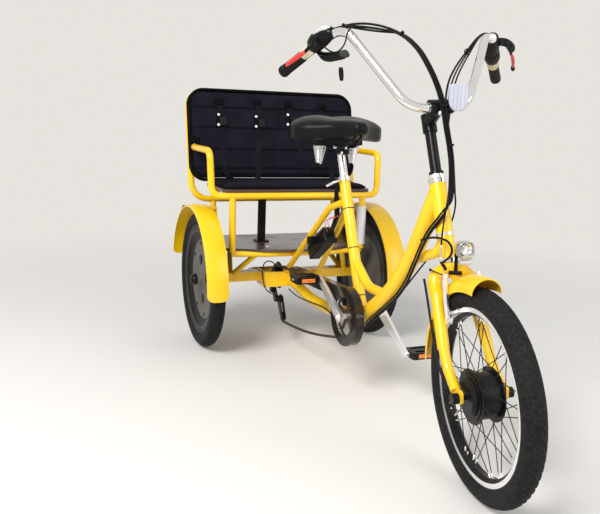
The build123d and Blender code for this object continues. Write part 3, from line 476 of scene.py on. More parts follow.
def make_mesh(name, points, faces, finish_name, smooth=True):
    """Puts whole arrays into a mesh with a finish on it."""
    mesh = bpy.data.meshes.new(name)
    mesh.vertices.add(len(points))
    mesh.vertices.foreach_set("co", np.ascontiguousarray(points, np.float32).ravel())
    mesh.loops.add(faces.size)
    mesh.loops.foreach_set("vertex_index", faces.ravel().astype(np.int32))
    mesh.polygons.add(len(faces))
    mesh.polygons.foreach_set("loop_start", np.arange(0, faces.size, faces.shape[1], dtype=np.int32))
    mesh.update(calc_edges=True)
    mesh.validate()
    mesh.shade_smooth() if smooth else mesh.shade_flat()
    mesh.materials.append(finishes[finish_name])
    piece = bpy.data.objects.new(name, mesh)
    bpy.context.scene.collection.objects.link(piece)
    return piece


def make_piece(name, points, faces, finish_name, body, smooth=True, slot=None):
    """A mesh that rides on a body, where one is given. Its slot is not used."""
    piece = make_mesh(name, points, faces, finish_name, smooth)
    if body:
        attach(piece, body)
    return piece


def grid_piece(name, grid, finish_name, body, closed_rows=False, **more):
    """A piece from a grid of points of shape rows by columns by 3, with its open ends drawn shut."""
    if not closed_rows:
        ends = [np.broadcast_to(grid[k].mean(0), grid[k].shape) for k in (0, -1)]
        grid = np.concatenate([ends[0][None], grid, ends[1][None]])
    rows, columns = grid.shape[:2]
    points = grid.reshape(-1, 3)
    faces = outward(points, grid_faces(rows, columns, closed_rows))
    return make_piece(name, points, faces, finish_name, body, **more)


def many(name, places, shape, finish_name, body, **more):
    """Copies of one small closed shape: its points turned by each place's axes, all in one mesh."""
    template, faces = shape
    points = np.concatenate([template @ axes.T + origin for origin, axes in places])
    offsets = np.arange(len(places))[:, None, None] * len(template)
    all_faces = (outward(template, faces)[None] + offsets).reshape(-1, faces.shape[1])
    return make_piece(name, points, all_faces, finish_name, body, **more)


def full_turn(count):
    """Evenly spaced angles round a circle."""
    return np.linspace(0, 2 * np.pi, count, endpoint=False)


def powered(values, power):
    """The sign of v times |v| to a power. On sines and cosines a power under 1 squares the circle."""
    return np.sign(values) * np.abs(values) ** power


def between(points, count):
    """So many points on the straight runs between the given ones."""
    points = np.asarray(points, float)
    along = np.linspace(0, len(points) - 1, count)
    return np.stack([np.interp(along, np.arange(len(points)), column) for column in points.T], axis=1)


def lathe(profile, sides=24, ring=False):
    """Radius and height pairs in millimetres turned about Z: x = r cos a, y = r sin a, z = h. A ring has
    a hole in it, so its last pair joins its first. Otherwise both ends are on the axis."""
    r, h = (column[:, None] for column in np.asarray(profile, float).T)
    a = full_turn(sides)
    grid = np.stack(np.broadcast_arrays(r * np.cos(a), r * np.sin(a), h), axis=-1)
    return grid.reshape(-1, 3) / 1000, grid_faces(len(r), sides, ring)


def round_axle(centre, axle, radius, angle, width):
    """centre + r (x cos a + z sin a) + w axle, where x and z stand square to the axle."""
    x_axis = unit(np.cross(axle, UP))
    z_axis = np.cross(x_axis, axle)
    radius, angle, width = (v[..., None] for v in np.broadcast_arrays(radius, angle, width))
    return centre + radius * (np.cos(angle) * x_axis + np.sin(angle) * z_axis) + width * axle


def facing(direction, roll=UP):
    """Three axes as columns, the third along the direction."""
    z = unit(direction)
    x = np.cross(roll, z)
    x = unit(x) if np.linalg.norm(x) > 1e-6 else FORE
    return np.stack([x, np.cross(z, x), z], axis=1)


# %% [markdown]
# ## Cables
# A cable is a smooth curve through the air, held at both ends. A NURBS spline with the drawing's route as its
# control points bends like one. The bundles hold several thin cables, so each is a curve of its own, set off
# a little from the others, and ties hold them together.


# %% Cables
# no cable runs along this direction, so a circle can be set square to any cable with it
OBLIQUE = np.array([0.31, 0.47, 0.83])


def tube_along(line, radius, sides=10, closed=False):
    """A round tube: each point of the line carries r (u cos a + v sin a), with u and v square to the line."""
    if closed:
        ahead_of, behind = np.roll(line, -1, axis=0), np.roll(line, 1, axis=0)
    else:
        ahead_of = np.vstack([line[1:], 2 * line[-1:] - line[-2:-1]])
        behind = np.vstack([2 * line[:1] - line[1:2], line[:-1]])
    run = unit(ahead_of - behind)
    first = unit(np.cross(run, OBLIQUE))
    second = np.cross(run, first)
    a = full_turn(sides)[None, :, None]
    radius = np.broadcast_to(radius, len(line))[:, None, None]
    return line[:, None] + radius * (np.cos(a) * first[:, None] + np.sin(a) * second[:, None])


def spline(name, points, diameter, finish_name):
    """A NURBS curve of order 3 that starts and ends at its end points, as thick as the cable."""
    curve = bpy.data.curves.new(name, "CURVE")
    curve.dimensions = "3D"
    line = curve.splines.new("NURBS")
    line.points.add(len(points) - 1)
    flat = np.concatenate([points, np.ones((len(points), 1))], axis=1)
    line.points.foreach_set("co", flat.ravel())
    line.order_u = 3
    line.use_endpoint_u = True
    line.resolution_u = 8
    curve.bevel_depth = diameter / 2
    curve.bevel_resolution = 3
    curve.use_fill_caps = True
    curve.materials.append(finishes[finish_name])
    made = bpy.data.objects.new(name, curve)
    bpy.context.scene.collection.objects.link(made)
    return made


def line_of(curve_object):
    """The points that the curve follows, read from Blender with its thickness off."""
    depth = curve_object.data.bevel_depth
    curve_object.data.bevel_depth = 0
    mesh = bpy.data.meshes.new_from_object(curve_object)
    points = np.zeros(len(mesh.vertices) * 3)
    mesh.vertices.foreach_get("co", points)
    curve_object.data.bevel_depth = depth
    bpy.data.meshes.remove(mesh)
    return points.reshape(-1, 3)


def free_cable(name, points, diameter, body, finish_name="cable_rubber"):
    """A cable with both its fixings on one body."""
    made = spline(name, points, diameter, finish_name)
    # the line is read before the curve gets its parent, because read later it leaves the curve a wrong box
    line = line_of(made)
    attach(made, body)


def crossing_cable(name, points, diameter, start, end, bodies=("steering", "frame")):
    """A tube on the curve's line, put on no body. Its start, end and bodies are not used."""
    guide = spline(name + "_guide", points, diameter, "cable_rubber")
    line = line_of(guide)
    bpy.data.objects.remove(guide)
    made = grid_piece(name, tube_along(line, diameter / 2), "cable_rubber", None)
    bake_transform(made)
    return made


# %% [markdown]
# ### The long bundle
# Three cables leave the right grip, arch over to the stem and go down in front of the head tube. There they
# cross from the part that turns to the frame, and run along the main tube to the cranks. One strand of the
# left bundle takes the head tube's far side.

# %% The long bundle
CLAMP = np.array([1045.0, 0.0, 926.0])
BUNDLE = CLAMP + np.array([
    (-176, -226, 205), (-160, -207, 214), (-124, -166, 218), (-84, -124, 208), (-45, -84, 186),
    (-11, -52, 147), (11, -33, 103), (23, -14, 56), (30, 0, 5), (33, 7, -46), (36, 16, -94),
    (42, 20, -140), (48, 18, -182), (54, 14, -214), (60, 7, -236),
], float)
FRAME_ROUTE = np.array([
    (1117, -14, 671), (1104, -23, 645), (1076, -31, 613), (1044, -27, 574), (1004, -22, 518),
    (952, -14, 446), (896, -10, 392), (838, -8, 348), (772, -8, 300), (712, -8, 254),
], float)
MOTOR_LEAD = np.array([
    (1146, -75, 508), (1163, -74, 470), (1198, -77, 408), (1232, -79.5, 352), (1260, -79, 310),
    (1286, -78, 286), (1304, -77, 278),
], float)
BRAKE_END = np.array([(1113, -6, 668), (1132, -20, 636), (1143, -28, 606), (1144, -30, 586)], float)
LEFT_BUNDLE = np.array([
    (828, 246, 1104), (861, 225, 1126), (891, 180, 1112), (924, 130, 1068), (960, 85, 1031),
    (988, 52, 994), (1034, 24, 952), (1062, 12, 915), (1068, 13, 880),
], float)


def apart(route, forward, side, low, first, last):
    """The route set off by a little, and hanging lower between two of its points."""
    share = np.clip((np.arange(len(route)) - first) / (last - first), 0, 1)
    return route + [forward, side, 0] - np.outer(low * np.sin(np.pi * share), [0, 0, 1])


# the strands of the bundle: forward and side on the steering, how much lower the arch hangs, their place
# beside the first strand on the frame, thickness
STRANDS = [
    ("a", 0.0, 0.0, 0.0, (0.0, 0.0, 0.0), 6.0),
    ("b", 3.5, 4.5, 19.0, (-3.5, -4.5, 3.0), 5.4),
    ("c", 0.5, -5.5, 9.0, (2.0, -1.5, -5.5), 5.0),
]
ARCH = (1, 4)
crossing = (steered(BUNDLE[11]), metres(FRAME_ROUTE[1]))
for strand, forward, side, low, beside, thick in STRANDS:
    on_steering = steered(apart(BUNDLE, forward, side, low, *ARCH))
    route = np.concatenate([on_steering, metres(FRAME_ROUTE + beside)])
    long_cable = crossing_cable(f"right_cable_{strand}", route, thick / 1000, *crossing)
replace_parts(long_cable, "handlebar_cables", "frame_cables")

FAR_START = CLAMP + np.array([
    (24, 2, -10), (30, 12, -50), (37, 20, -94), (43, 25, -140), (53, 24, -182), (66, 20, -214),
], float)
FAR_ROUTE = np.array([
    (1110, 19, 684), (1088, 27, 640), (1054, 26, 588), (1018, 13, 536), (987, 2, 493), (954, 0, 458),
    (918, -8, 414), (876, -10, 376),
], float)
route = np.concatenate([steered(FAR_START), metres(FAR_ROUTE)])
crossing_cable("far_cable", route, 0.0046, steered(FAR_START[3]), metres(FAR_ROUTE[1]))

# %% [markdown]
# ### Cables that stay on one body
# The brake cable, the left grip's three cables and the motor's lead turn with the fork. The rear brake's
# loop crosses in front of the head tube, from the frame to the fork.

# %% Cables that stay on one body
brake_route = np.concatenate([apart(BUNDLE[:13], -1.0, 6.0, 12.0, *ARCH), BRAKE_END])
free_cable("front_brake_cable", steered(brake_route), 0.0044, "steering")
for strand, side, thick in (("a", 0.0, 5.4), ("b", 8.0, 4.4), ("c", 16.0, 4.4)):
    bow = np.sin(np.pi * np.clip((np.arange(len(LEFT_BUNDLE)) - 2) / 6, 0, 1))[:, None] * [0, side, 0]
    route = LEFT_BUNDLE + bow + [side * 0.35, side * 0.1, 0]
    free_cable(f"left_cable_{strand}", steered(route), thick / 1000, "steering")
free_cable("motor_lead_cable", steered(MOTOR_LEAD), 0.006, "steering")

LOOP = np.array([
    (1036, -30, 583), (1076, -29, 597), (1116, -30, 603), (1160, -34, 610), (1200, -35, 610),
    (1223, -36, 598), (1220, -36, 583), (1201, -38, 566), (1173, -42, 551),
], float)
ON_FRAME = 3
route = np.concatenate([metres(LOOP[:ON_FRAME]), steered(LOOP[ON_FRAME:])])
crossing_cable("brake_loop", route, 0.006, metres(LOOP[2]), steered(LOOP[4]), ("frame", "steering"))

# %% [markdown]
# ### Cables at the back
# A shift cable loops over the yoke, a cable follows the chain stay, and a twisted harness with two thin
# wires leaves the controller and goes up the seat tube. The twist is a circle whose angle grows along it.

# %% Cables at the back
SHIFT_LOOP = np.array([
    (34, -60, 276), (44, -66, 300), (56, -80, 322), (62, -104, 334), (68, -126, 326),
    (73, -133, 302), (76, -132, 268), (74, -124, 236), (58, -104, 208), (44, -82, 196),
], float)
free_cable("shift_loop", metres(SHIFT_LOOP), 0.0044, "frame")
STAY_ROUTE = np.array([
    (72, -20, 218), (127, -18, 209), (198, -18, 211), (262, -22, 218), (318, -25, 226),
    (378, -25, 233), (436, -25, 237), (494, -27, 231), (548, -30, 222),
], float)
free_cable("stay_cable", metres(STAY_ROUTE), 0.0044, "frame")
HARNESS = np.array([
    (352, 4, 466), (392, 0, 496), (424, 0, 526), (450, -3, 560), (456, -6, 594), (450, -8, 626),
    (447, -8, 650), (455, -6, 668),
], float)
# each strand of the harness: thickness, distance from its middle, and where in the twist it starts
TWISTED = [(9.0, 4.0, 0.0), (8.0, 6.0, 2.1), (8.0, 6.0, 4.2), (5.0, 10.0, 1.2)]
for number, (thick, reach, first_angle) in enumerate(TWISTED, 1):
    phase = first_angle + 0.8 * np.arange(len(HARNESS))
    twist = reach * np.stack([0.6 * np.cos(phase), np.sin(phase), -0.6 * np.cos(phase)], axis=1)
    free_cable(f"harness_{number}", metres(HARNESS + twist), thick / 1000, "frame")
WIRES = np.array([
    (388, -6, 496), (400, -20, 512), (410, -30, 532), (424, -31, 545), (440, -24, 552), (450, -8, 556),
], float)
free_cable("orange_wire", metres(WIRES), 0.0026, "frame", "orange_wire")
free_cable("red_wire", metres(WIRES + [14, 4, 8]), 0.0022, "frame", "red_plastic")

# %% [markdown]
# ### Ties
# A tie is a short band round a bundle. One turned profile of radius 1 is scaled to each bundle, with its
# axis along the bundle there. The spline cuts inside its control points, so a tie's middle does the same.

# %% Cable ties
# route, place on it, radius
TIES = [(BUNDLE, 1, 7.0), (BUNDLE, 4, 7.5), (BUNDLE, 8, 9.0), (BUNDLE, 10, 9.5), (LEFT_BUNDLE, 3, 9.0)]
band = lathe([(0.8, -2.6), (1.0, -2.2), (1.0, 2.2), (0.8, 2.6)], 18, ring=True)
tie_places = []
for route, index, radius in TIES:
    before, here, after = route[index - 1:index + 2]
    middle = steered(here + (before + after - 2 * here) / 8 + [2.5, 2, 0])
    tie_places.append((middle, facing(steered(after) - steered(before)) * [radius, radius, 1.0]))
many("cable_ties", tie_places, band, "cable_rubber", "steering")
print("ties:", len(tie_places))

# %% [markdown]
# ### Brake noodle, bellows and seat tube ties
# The brake's cable ends in a bent metal pipe, the noodle, which leads it into a rubber boot. Between the
# brake's arms the bare cable is covered by bellows. These are tubes too, and the bellows' radius is a wave.

# %% Brake noodle, bellows and seat tube ties
# name, finish, slot, thickness, places
TUBES = [
    ("brake_noodle", "chrome", "chrome", 5.0,
     [(1144, -30, 590), (1145, -31, 572), (1149, -33, 557), (1160, -35, 549), (1176, -36, 545)]),
    ("noodle_boot", "cable_rubber", "cable_rubber", 8.0,
     [(1170, -36, 546), (1178, -36, 543), (1188, -37, 539)]),
    ("spring_arm", "black_paint", "cable_rubber", 3.4,
     [(1152, -61, 531), (1170, -52, 528), (1191, -42, 524)]),
]
for name, finish_name, slot, thick, places in TUBES:
    grid_piece(name, tube_along(steered(between(places, 24)), thick / 2000, 14), finish_name, "steering",
               slot=slot)
FOLDS = 5
share = np.linspace(0, 1, 61)
bellows = np.array([1200, -31, 532.6]) + share[:, None] * np.array([-2.4, 31, -4.2])
bellows_radius = (4.6 + 1.4 * np.cos(2 * np.pi * FOLDS * share)) / 1000
grid_piece("brake_bellows", tube_along(steered(bellows), bellows_radius, 20), "cable_rubber", "steering")
knob = lathe([(0, -4), (2.8, -2.8), (4, 0), (2.8, 2.8), (0, 4)], 14)
many("spring_knob", [(steered([1152, -61, 531]), np.eye(3))], knob, "black_paint", "steering")

SEAT_TUBE_TOP = np.array([490.0, 0.0, 682.0])
SEAT_TUBE_RUN = np.array([669.0, 0.0, 278.0]) - SEAT_TUBE_TOP
SEAT_TUBE_RADIUS = 18.7
tie_axes = facing(SEAT_TUBE_RUN) * [SEAT_TUBE_RADIUS, SEAT_TUBE_RADIUS, 0.7]
tie_places = [(metres(SEAT_TUBE_TOP + SEAT_TUBE_RUN * down), tie_axes) for down in (0.212, 0.51, 0.865)]
many("seat_tube_ties", tie_places, band, "cable_rubber", "frame")

# %% [markdown]
# ## Tyres
# The tread is a wave pattern of small blocks. A grid runs round the tyre and across it. The height of the
# rubber is a function of both: slanted grooves, which are narrow dips in a wave, are cut below the crown.


# %% Tyres
TYRE_RADIUS = 0.260
TYRE_HALF = 0.0273
BLOCKS = 62
GROOVE_DEPTH = 0.0021
BEAD_ANGLE = 2.5
TREAD_AROUND, TREAD_ACROSS = 880, 44


def dip(phase, width):
    """A narrow groove at every whole number of the phase: 1 in its middle, 0 outside its width."""
    distance = np.abs(phase - np.round(phase))
    return np.clip(1 - distance / width, 0, 1) ** 0.6


def tyre(name, centre, axle, body, node):
    """A ring: radius = middle + a cos p, width = a sin p, from bead to bead, with a less in the grooves."""
    around = full_turn(TREAD_AROUND)[:, None]
    p = np.linspace(-BEAD_ANGLE, BEAD_ANGLE, TREAD_ACROSS)[None, :]
    slant = np.abs(np.sin(p)) * 1.6
    tread = (np.abs(p) < 1.02) * (np.abs(p) > 0.10)
    blocks = dip(around * BLOCKS / (2 * np.pi) + slant, 0.20) * tread
    ribs = dip(p / 0.52 + 0.5 + 0.12 * np.sin(around * BLOCKS), 0.13) * (np.abs(p) < 0.9)
    bead = -0.0006 * np.cos(np.clip((np.abs(p) - 1.55) / 0.25, -np.pi / 2, np.pi / 2))
    rubber = TYRE_HALF - GROOVE_DEPTH * np.maximum(blocks, ribs) + bead
    radius = TYRE_RADIUS - TYRE_HALF + rubber * np.cos(p)
    grid = round_axle(centre, axle, radius, around, rubber * np.sin(p))
    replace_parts(grid_piece(name, grid, "tyre_rubber", body, closed_rows=True), node)


front_axle_line = turned([0.0, 1.0, 0.0], STEER_UP, STEER_ANGLE)
front_centre = steered([WHEELBASE, 0, AXLE_HEIGHT])
tyre("front_tyre_tread", front_centre, front_axle_line, "front_wheel", "front_tyre")
for side, word in SIDES:
    centre = metres([0, side * HALF_TRACK, AXLE_HEIGHT])
    tyre(f"rear_tyre_tread_{word}", centre, LEFT, f"rear_wheel_{word}", f"rear_tyre_{word}")
print("tyres:", 1 + len(SIDES))

# %% [markdown]
# ## Rear discs
# A rear wheel is one pressed disc in place of spokes: a flat plate set deep in a black ring, with a rounded
# cap over the axle's end. The whole is a profile turned round the axle, from the inner hub to the outer one.
# The holes in the plate are shallow dark spots of painted shade for their dark insides, eight small near its
# edge and four large near the hub.

# %% Rear discs
# distance from the axle, and distance outward from the wheel's middle
DISC = [
    (7.8, -31), (19, -31), (24, -26), (30, -14), (150, -10), (168, -13), (186, -17), (196, -18),
    (203, -20), (210, -19), (212.5, -16), (212, 0), (212.5, 16), (210, 19), (203, 20), (196, 18),
    (190, 17), (184, 17), (182, 13), (166, 6), (152, 0), (149, -1), (32, 3), (27, 14), (22, 22),
    (14, 23), (7.8, 23),
]
disc = lathe(DISC, 96, ring=True)
cap = lathe([(0, 24), (20, 24), (21, 26), (21, 32), (18, 40), (12, 45), (5, 47), (0, 47.4)], 96)
hole = lathe([(0, -1), (1, -1), (1, 0.5), (0, 0.6)], 20)
# how many holes, their distance from the axle, radius and place outward
HOLES = [(8, 138, 8, 0.2), (4, 74, 20, 2.4)]
FIRST_HOLE = math.radians(12)
for side, word in SIDES:
    body = f"rear_wheel_{word}"
    centre = metres([0, side * HALF_TRACK, AXLE_HEIGHT])
    axes = facing(side * LEFT, FORE)
    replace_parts(many(f"rear_disc_{word}", [(centre, axes)], disc, "disc_paint", body), f"rear_wheel_{word}")
    many(f"rear_cap_{word}", [(centre, axes)], cap, "black_plastic", body, slot="black_paint")
    spots = []
    for count, reach, size, outward_by in HOLES:
        for angle in full_turn(count) + FIRST_HOLE:
            at = centre + (axes @ [reach * math.cos(angle), reach * math.sin(angle), outward_by]) / 1000
            spots.append((at, axes * [size, size, 1.0]))
    # black spots in place of open holes: painted shade for the holes' dark insides
    many(f"disc_hole_shade_{word}", spots, hole, "black_plastic", body)
print("holes in each disc:", len(spots))

# %% [markdown]
# ## Chain
# A bicycle chain is pairs of waisted plates on rollers half an inch apart. One link of each kind is
# drawn as an outline with few corners and set round the loop: a belt round three circles.


# %% Chain
RING = (661.0, 273.0, 77.0)
SPROCKET = (0.0, 260.0, 41.5)
PULLEY = (92.0, 112.0, 19.0)
CHAIN_LINE = -48.0
PITCH = 12.7


def belt(circles):
    """A belt round circles, met counterclockwise: arcs joined by their outer tangents."""
    points = []
    for k, (x, z, r) in enumerate(circles):
        angles = []
        for other in (circles[k - 1], circles[(k + 1) % len(circles)]):
            dx, dz = other[0] - x, other[1] - z
            away = math.acos((r - other[2]) / math.hypot(dx, dz))
            angles.append(math.atan2(dz, dx) + (-away if other is circles[(k + 1) % len(circles)] else away))
        start, end = angles
        end += 2 * math.pi * (end < start)
        a = np.linspace(start, end, 40)
        points.append(np.stack([x + r * np.cos(a), z + r * np.sin(a)], axis=1))
    return np.concatenate(points)


loop = belt([RING, SPROCKET, PULLEY])
loop = between(np.concatenate([loop, loop[:1]]), 4000)
# the lower run hangs slack between the pulley and the ring, in a shallow bow
SLACK_FROM, SLACK_TO, SLACK_DROP = 100, 600, 13
slack = np.clip((loop[:, 0] - SLACK_FROM) / (SLACK_TO - SLACK_FROM), 0, 1)
loop[:, 1] -= SLACK_DROP * np.sin(np.pi * slack) * (loop[:, 1] < 260 - 0.06 * loop[:, 0])
travelled = np.concatenate([[0], np.cumsum(np.linalg.norm(np.diff(loop, axis=0), axis=1))])
link_count = int(round(travelled[-1] / PITCH / 2)) * 2
stations = np.linspace(0, travelled[-1], link_count, endpoint=False)
pins = np.stack([np.interp(stations, travelled, loop[:, k]) for k in (0, 1)], axis=1)
following = np.roll(pins, -1, axis=0)
# a plate's outline: two round ends and a waist between them
PLATE_CORNERS = 14
plate_turn = full_turn(PLATE_CORNERS)
plate_x = PITCH / 2 * np.tanh(2.4 * np.cos(plate_turn)) + 3.6 * np.cos(plate_turn)
plate_z = 4.1 * np.sin(plate_turn) * (1 - 0.32 * np.exp(-(plate_x / 2.6) ** 2))


def plate_grid(y_low, y_high):
    """The outline on both faces of the plate, drawn in to its middle on each."""
    rows = [np.stack([plate_x * size, np.full(PLATE_CORNERS, y), plate_z * size], axis=1) for y, size in
            ((y_low, 0.02), (y_low, 1.0), (y_high, 1.0), (y_high, 0.02))]
    return np.concatenate(rows) / 1000, grid_faces(4, PLATE_CORNERS, False)


def link_places(which):
    """Every second link: its middle, and axes along it and across."""
    places = []
    for start, end in zip(pins[which::2], following[which::2]):
        run = (end - start) / np.linalg.norm(end - start)
        axes = np.array([[run[0], 0, -run[1]], [0, 1, 0], [run[1], 0, run[0]]])
        middle = (start + end) / 2
        places.append((metres([middle[0], CHAIN_LINE, middle[1]]), axes))
    return places


for kind, which, inner, outer in (("inner", 0, 1.7, 2.6), ("outer", 1, 2.7, 3.6)):
    for side, word in SIDES:
        plate = plate_grid(*sorted((side * inner, side * outer)))
        many(f"chain_{kind}_{word}", link_places(which), plate, "steel", "frame", smooth=False)
roller = lathe([(0, -1.7), (3.9, -1.7), (3.9, 1.7), (0, 1.7)], 10)
roller_places = [(metres([x, CHAIN_LINE, z]), facing(LEFT)) for x, z in pins]
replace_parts(many("chain_rollers", roller_places, roller, "steel", "frame"), "chain")
print("chain links:", link_count)

# %% [markdown]
# ## Bolts, caps and nipples
# Small fasteners repeat all over the machine. Each is a short turned profile, set at its place with its axis
# along the direction that it was screwed in from.

# %% Bolts and caps
dome = lathe([(0, -2), (6.2, -2), (6.2, 0.6), (4.4, 0.8), (4.0, 2.6), (2.0, 3.6), (0, 3.8)], 16)
# places, direction, size: at the back of the bench, on the deck, under the seat
BOLTS = [
    ([(-176, -345, 766), (-176, 345, 766)], UP, 1.0),
    ([(90, -120, 394.2), (120, 60, 394.2), (60, -250, 394.2), (60, 250, 394.2), (-150, -250, 394.2),
      (-150, 250, 394.2)], UP, 1.0),
    ([(70, -240, 577), (70, -205, 577), (70, 240, 577)], -UP, 0.9),
]
bolt_places = [(metres(at), facing(way, LEFT) * size) for places, way, size in BOLTS for at in places]
many("frame_bolts", bolt_places, dome, "alloy", "frame")
CRANK_X, CRANK_Z = 661, 273
CRANK_REACH = 167
CRANK_ANGLE = math.radians(145.5)
HUB_OUT, TIP_OUT = 83, 100.5
for side, word in SIDES:
    reach = -side * CRANK_REACH
    tip = metres([CRANK_X + reach * math.cos(CRANK_ANGLE), side * TIP_OUT,
                  CRANK_Z + reach * math.sin(CRANK_ANGLE)])
    centre = metres([CRANK_X, side * HUB_OUT, CRANK_Z])
    axes = facing(side * LEFT)
    many(f"crank_bolts_{word}", [(centre, axes * 1.9), (tip, axes)], dome, "alloy", "crank")

# %% [markdown]
# ### Spoke nipples
# At the rim each spoke ends in a small nut, the nipple. Its axis is the spoke's own line, worked out from the
# spoke's two ends in the same pattern as the spokes of the solid model.

# %% Spoke nipples
SPOKES = 18
FLANGE_RADIUS, FLANGE_OUT = 64, 27
RIM_RADIUS, RIM_OUT = 190, 3
nipple = lathe([(0, -13), (1.7, -13), (1.9, -3), (2.6, -1), (2.6, 2), (0, 2)], 8)
wheel = np.array([WHEELBASE, 0, AXLE_HEIGHT])
# every second spoke leads the wheel's turn and the others trail, all by one angle, from holes a little apart
SPOKE_LEAD = math.radians(28)
HOLE_SHIFT = 3.4


def on_front_wheel(radius, angle, out):
    """r cos a forward, r sin a up and so far out from the front wheel's middle, turned with the fork."""
    return steered(wheel + [radius * math.cos(angle), out, radius * math.sin(angle)])


nipple_places = []
for side, word in SIDES:
    for index in range(SPOKES):
        lead = 1 if index % 2 else -1
        near = math.radians(20 * index + (10 if side > 0 else 0))
        far = near + lead * SPOKE_LEAD
        start = on_front_wheel(FLANGE_RADIUS, near, side * FLANGE_OUT + lead * HOLE_SHIFT)
        end = on_front_wheel(RIM_RADIUS, far, side * RIM_OUT)
        nipple_places.append((end, facing(end - start)))
many("spoke_nipples", nipple_places, nipple, "alloy", "front_wheel")
print("nipples:", len(nipple_places), "bolts:", len(bolt_places) + 4)

# %% [markdown]
# ### Brake track
# The front rim has a bare metal band on each side, where the brake blocks rub. It is a flat ring: the four
# corners of its section carried round the axle.

# %% Brake track
TRACK_LOW, TRACK_HIGH = 0.1995, 0.2125
TRACK_OUT, TRACK_THICK = 0.0153, 0.0008
for side, word in SIDES:
    start = side * TRACK_OUT - (TRACK_THICK if side < 0 else 0)
    radius = np.array([TRACK_LOW, TRACK_HIGH, TRACK_HIGH, TRACK_LOW])
    width = start + TRACK_THICK * np.array([0, 0, 1, 1])
    grid = round_axle(front_centre, front_axle_line, radius, full_turn(128)[:, None], width)
    grid_piece(f"brake_track_{word}", grid, "alloy", "front_wheel", closed_rows=True, smooth=False)

# %% [markdown]
# ## Soft goods
# The backrest is foam under cloth, tied down along sewn channels and edged with piping. Foam swells between
# whatever holds it in. Blender's cloth with a little air pressure inside does just that, on a mesh of even
# small faces. The channels are pressed in afterwards, because they are narrower than those faces.


# %% Swell a foam block
def rounded_block(width, height, thick, corner, edge, steps=16):
    """A block with round corners: its outline shrinks by edge (1 - cos t) as it rises by edge sin t."""
    quarter = np.linspace(0, np.pi / 2, steps)
    outline = []
    for k, (x, y) in enumerate([(1, 1), (-1, 1), (-1, -1), (1, -1)]):
        a = quarter + k * np.pi / 2
        middle = np.array([x * (width / 2 - corner), y * (height / 2 - corner)])
        outline.append(middle + corner * np.stack([np.cos(a), np.sin(a)], axis=1))
    outline = np.concatenate(outline)
    t = np.linspace(0, np.pi / 2, 6)
    rise = np.concatenate([np.zeros(7), thick - edge + edge * np.sin(t)])
    shrink = np.concatenate([np.zeros(7), edge * (1 - np.cos(t))])
    scale = 1 - 2 * shrink[:, None, None] / np.array([width, height])
    flat = outline[None] * scale
    return np.concatenate([flat, np.broadcast_to(rise[:, None, None], flat.shape[:2] + (1,))], axis=-1)


def swell(piece, voxel, pressure, cap, frames=16):
    """Voxel remesh, cloth with pressure and no gravity, and a cap on how far each point may move."""
    bpy.context.view_layer.objects.active = piece
    remesh = piece.modifiers.new("remesh", "REMESH")
    remesh.mode = "VOXEL"
    remesh.voxel_size = voxel
    bpy.ops.object.modifier_apply(modifier="remesh")
    before = np.zeros(len(piece.data.vertices) * 3)
    piece.data.vertices.foreach_get("co", before)
    cloth = piece.modifiers.new("cloth", "CLOTH")
    cloth.settings.use_pressure = True
    cloth.settings.uniform_pressure_force = pressure
    cloth.settings.effector_weights.gravity = 0
    cloth.settings.quality = 4
    for number in range(1, frames + 1):
        bpy.context.scene.frame_set(number)
    bpy.ops.object.modifier_apply(modifier="cloth")
    bpy.context.scene.frame_set(1)
    after = np.zeros(len(before))
    piece.data.vertices.foreach_get("co", after)
    move = (after - before).reshape(-1, 3)
    length = np.linalg.norm(move, axis=1, keepdims=True)
    move *= np.minimum(1, cap / np.maximum(length, 1e-9))
    piece.data.vertices.foreach_set("co", (before.reshape(-1, 3) + move).ravel())
    piece.data.update()
    print(piece.name, "swelled by up to", round(float(length.max()) * 1000, 1), "mm, capped at", cap * 1000)


# %% Backrest
BACK_LEAN = math.radians(12.2)
BACK_ORIGIN = np.array([-172.0, 0.0, 548.0])
back_right = LEFT
back_up = np.array([-math.sin(BACK_LEAN), 0.0, math.cos(BACK_LEAN)])
back_out = np.array([math.cos(BACK_LEAN), 0.0, math.sin(BACK_LEAN)])
CHANNELS = np.array([113.0, 190.0, 276.0, 357.0])


def on_back(across, up, out):
    """Drawing millimetres on the leaning back: across to the left, up the slope, out of it."""
    pairs = ((across, back_right), (up, back_up), (out, back_out))
    return metres(BACK_ORIGIN + sum(np.asarray(v, float)[..., None] * axis for v, axis in pairs))


BACK_MIDDLE = -7.0
BACK_HEIGHT = 252
block = rounded_block(698, 352, 30, 58, 13) + [BACK_MIDDLE, BACK_HEIGHT, 15]
back_pad = grid_piece("backrest_pad", on_back(*np.moveaxis(block, -1, 0)), "bench_cloth", "frame")
swell(back_pad, 0.006, 4.0, 0.006)
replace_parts(back_pad, "back_cushion")


def press_channels(piece):
    """Moves points back by depth exp(-(distance / width) squared) near each channel, with a faint ripple."""
    points = np.zeros(len(piece.data.vertices) * 3)
    piece.data.vertices.foreach_get("co", points)
    points = points.reshape(-1, 3)
    local = points * 1000 + [REAR_AXLE, 0, 0] - BACK_ORIGIN
    across, up, out = local @ back_right, local @ back_up, local @ back_out
    front = np.clip((out - 34) / 8, 0, 1)
    beside = up[:, None] - CHANNELS
    groove = np.exp(-(beside / 4.0) ** 2).sum(1)
    ripple = np.sin(across / 23 + 1.7 * np.sin(up / 31)) * np.exp(-(beside / 14.0) ** 2).sum(1)
    depth = front * (7.5 * groove + 0.5 * ripple)
    points -= depth[:, None] / 1000 * back_out
    piece.data.vertices.foreach_set("co", points.ravel())
    piece.data.update()


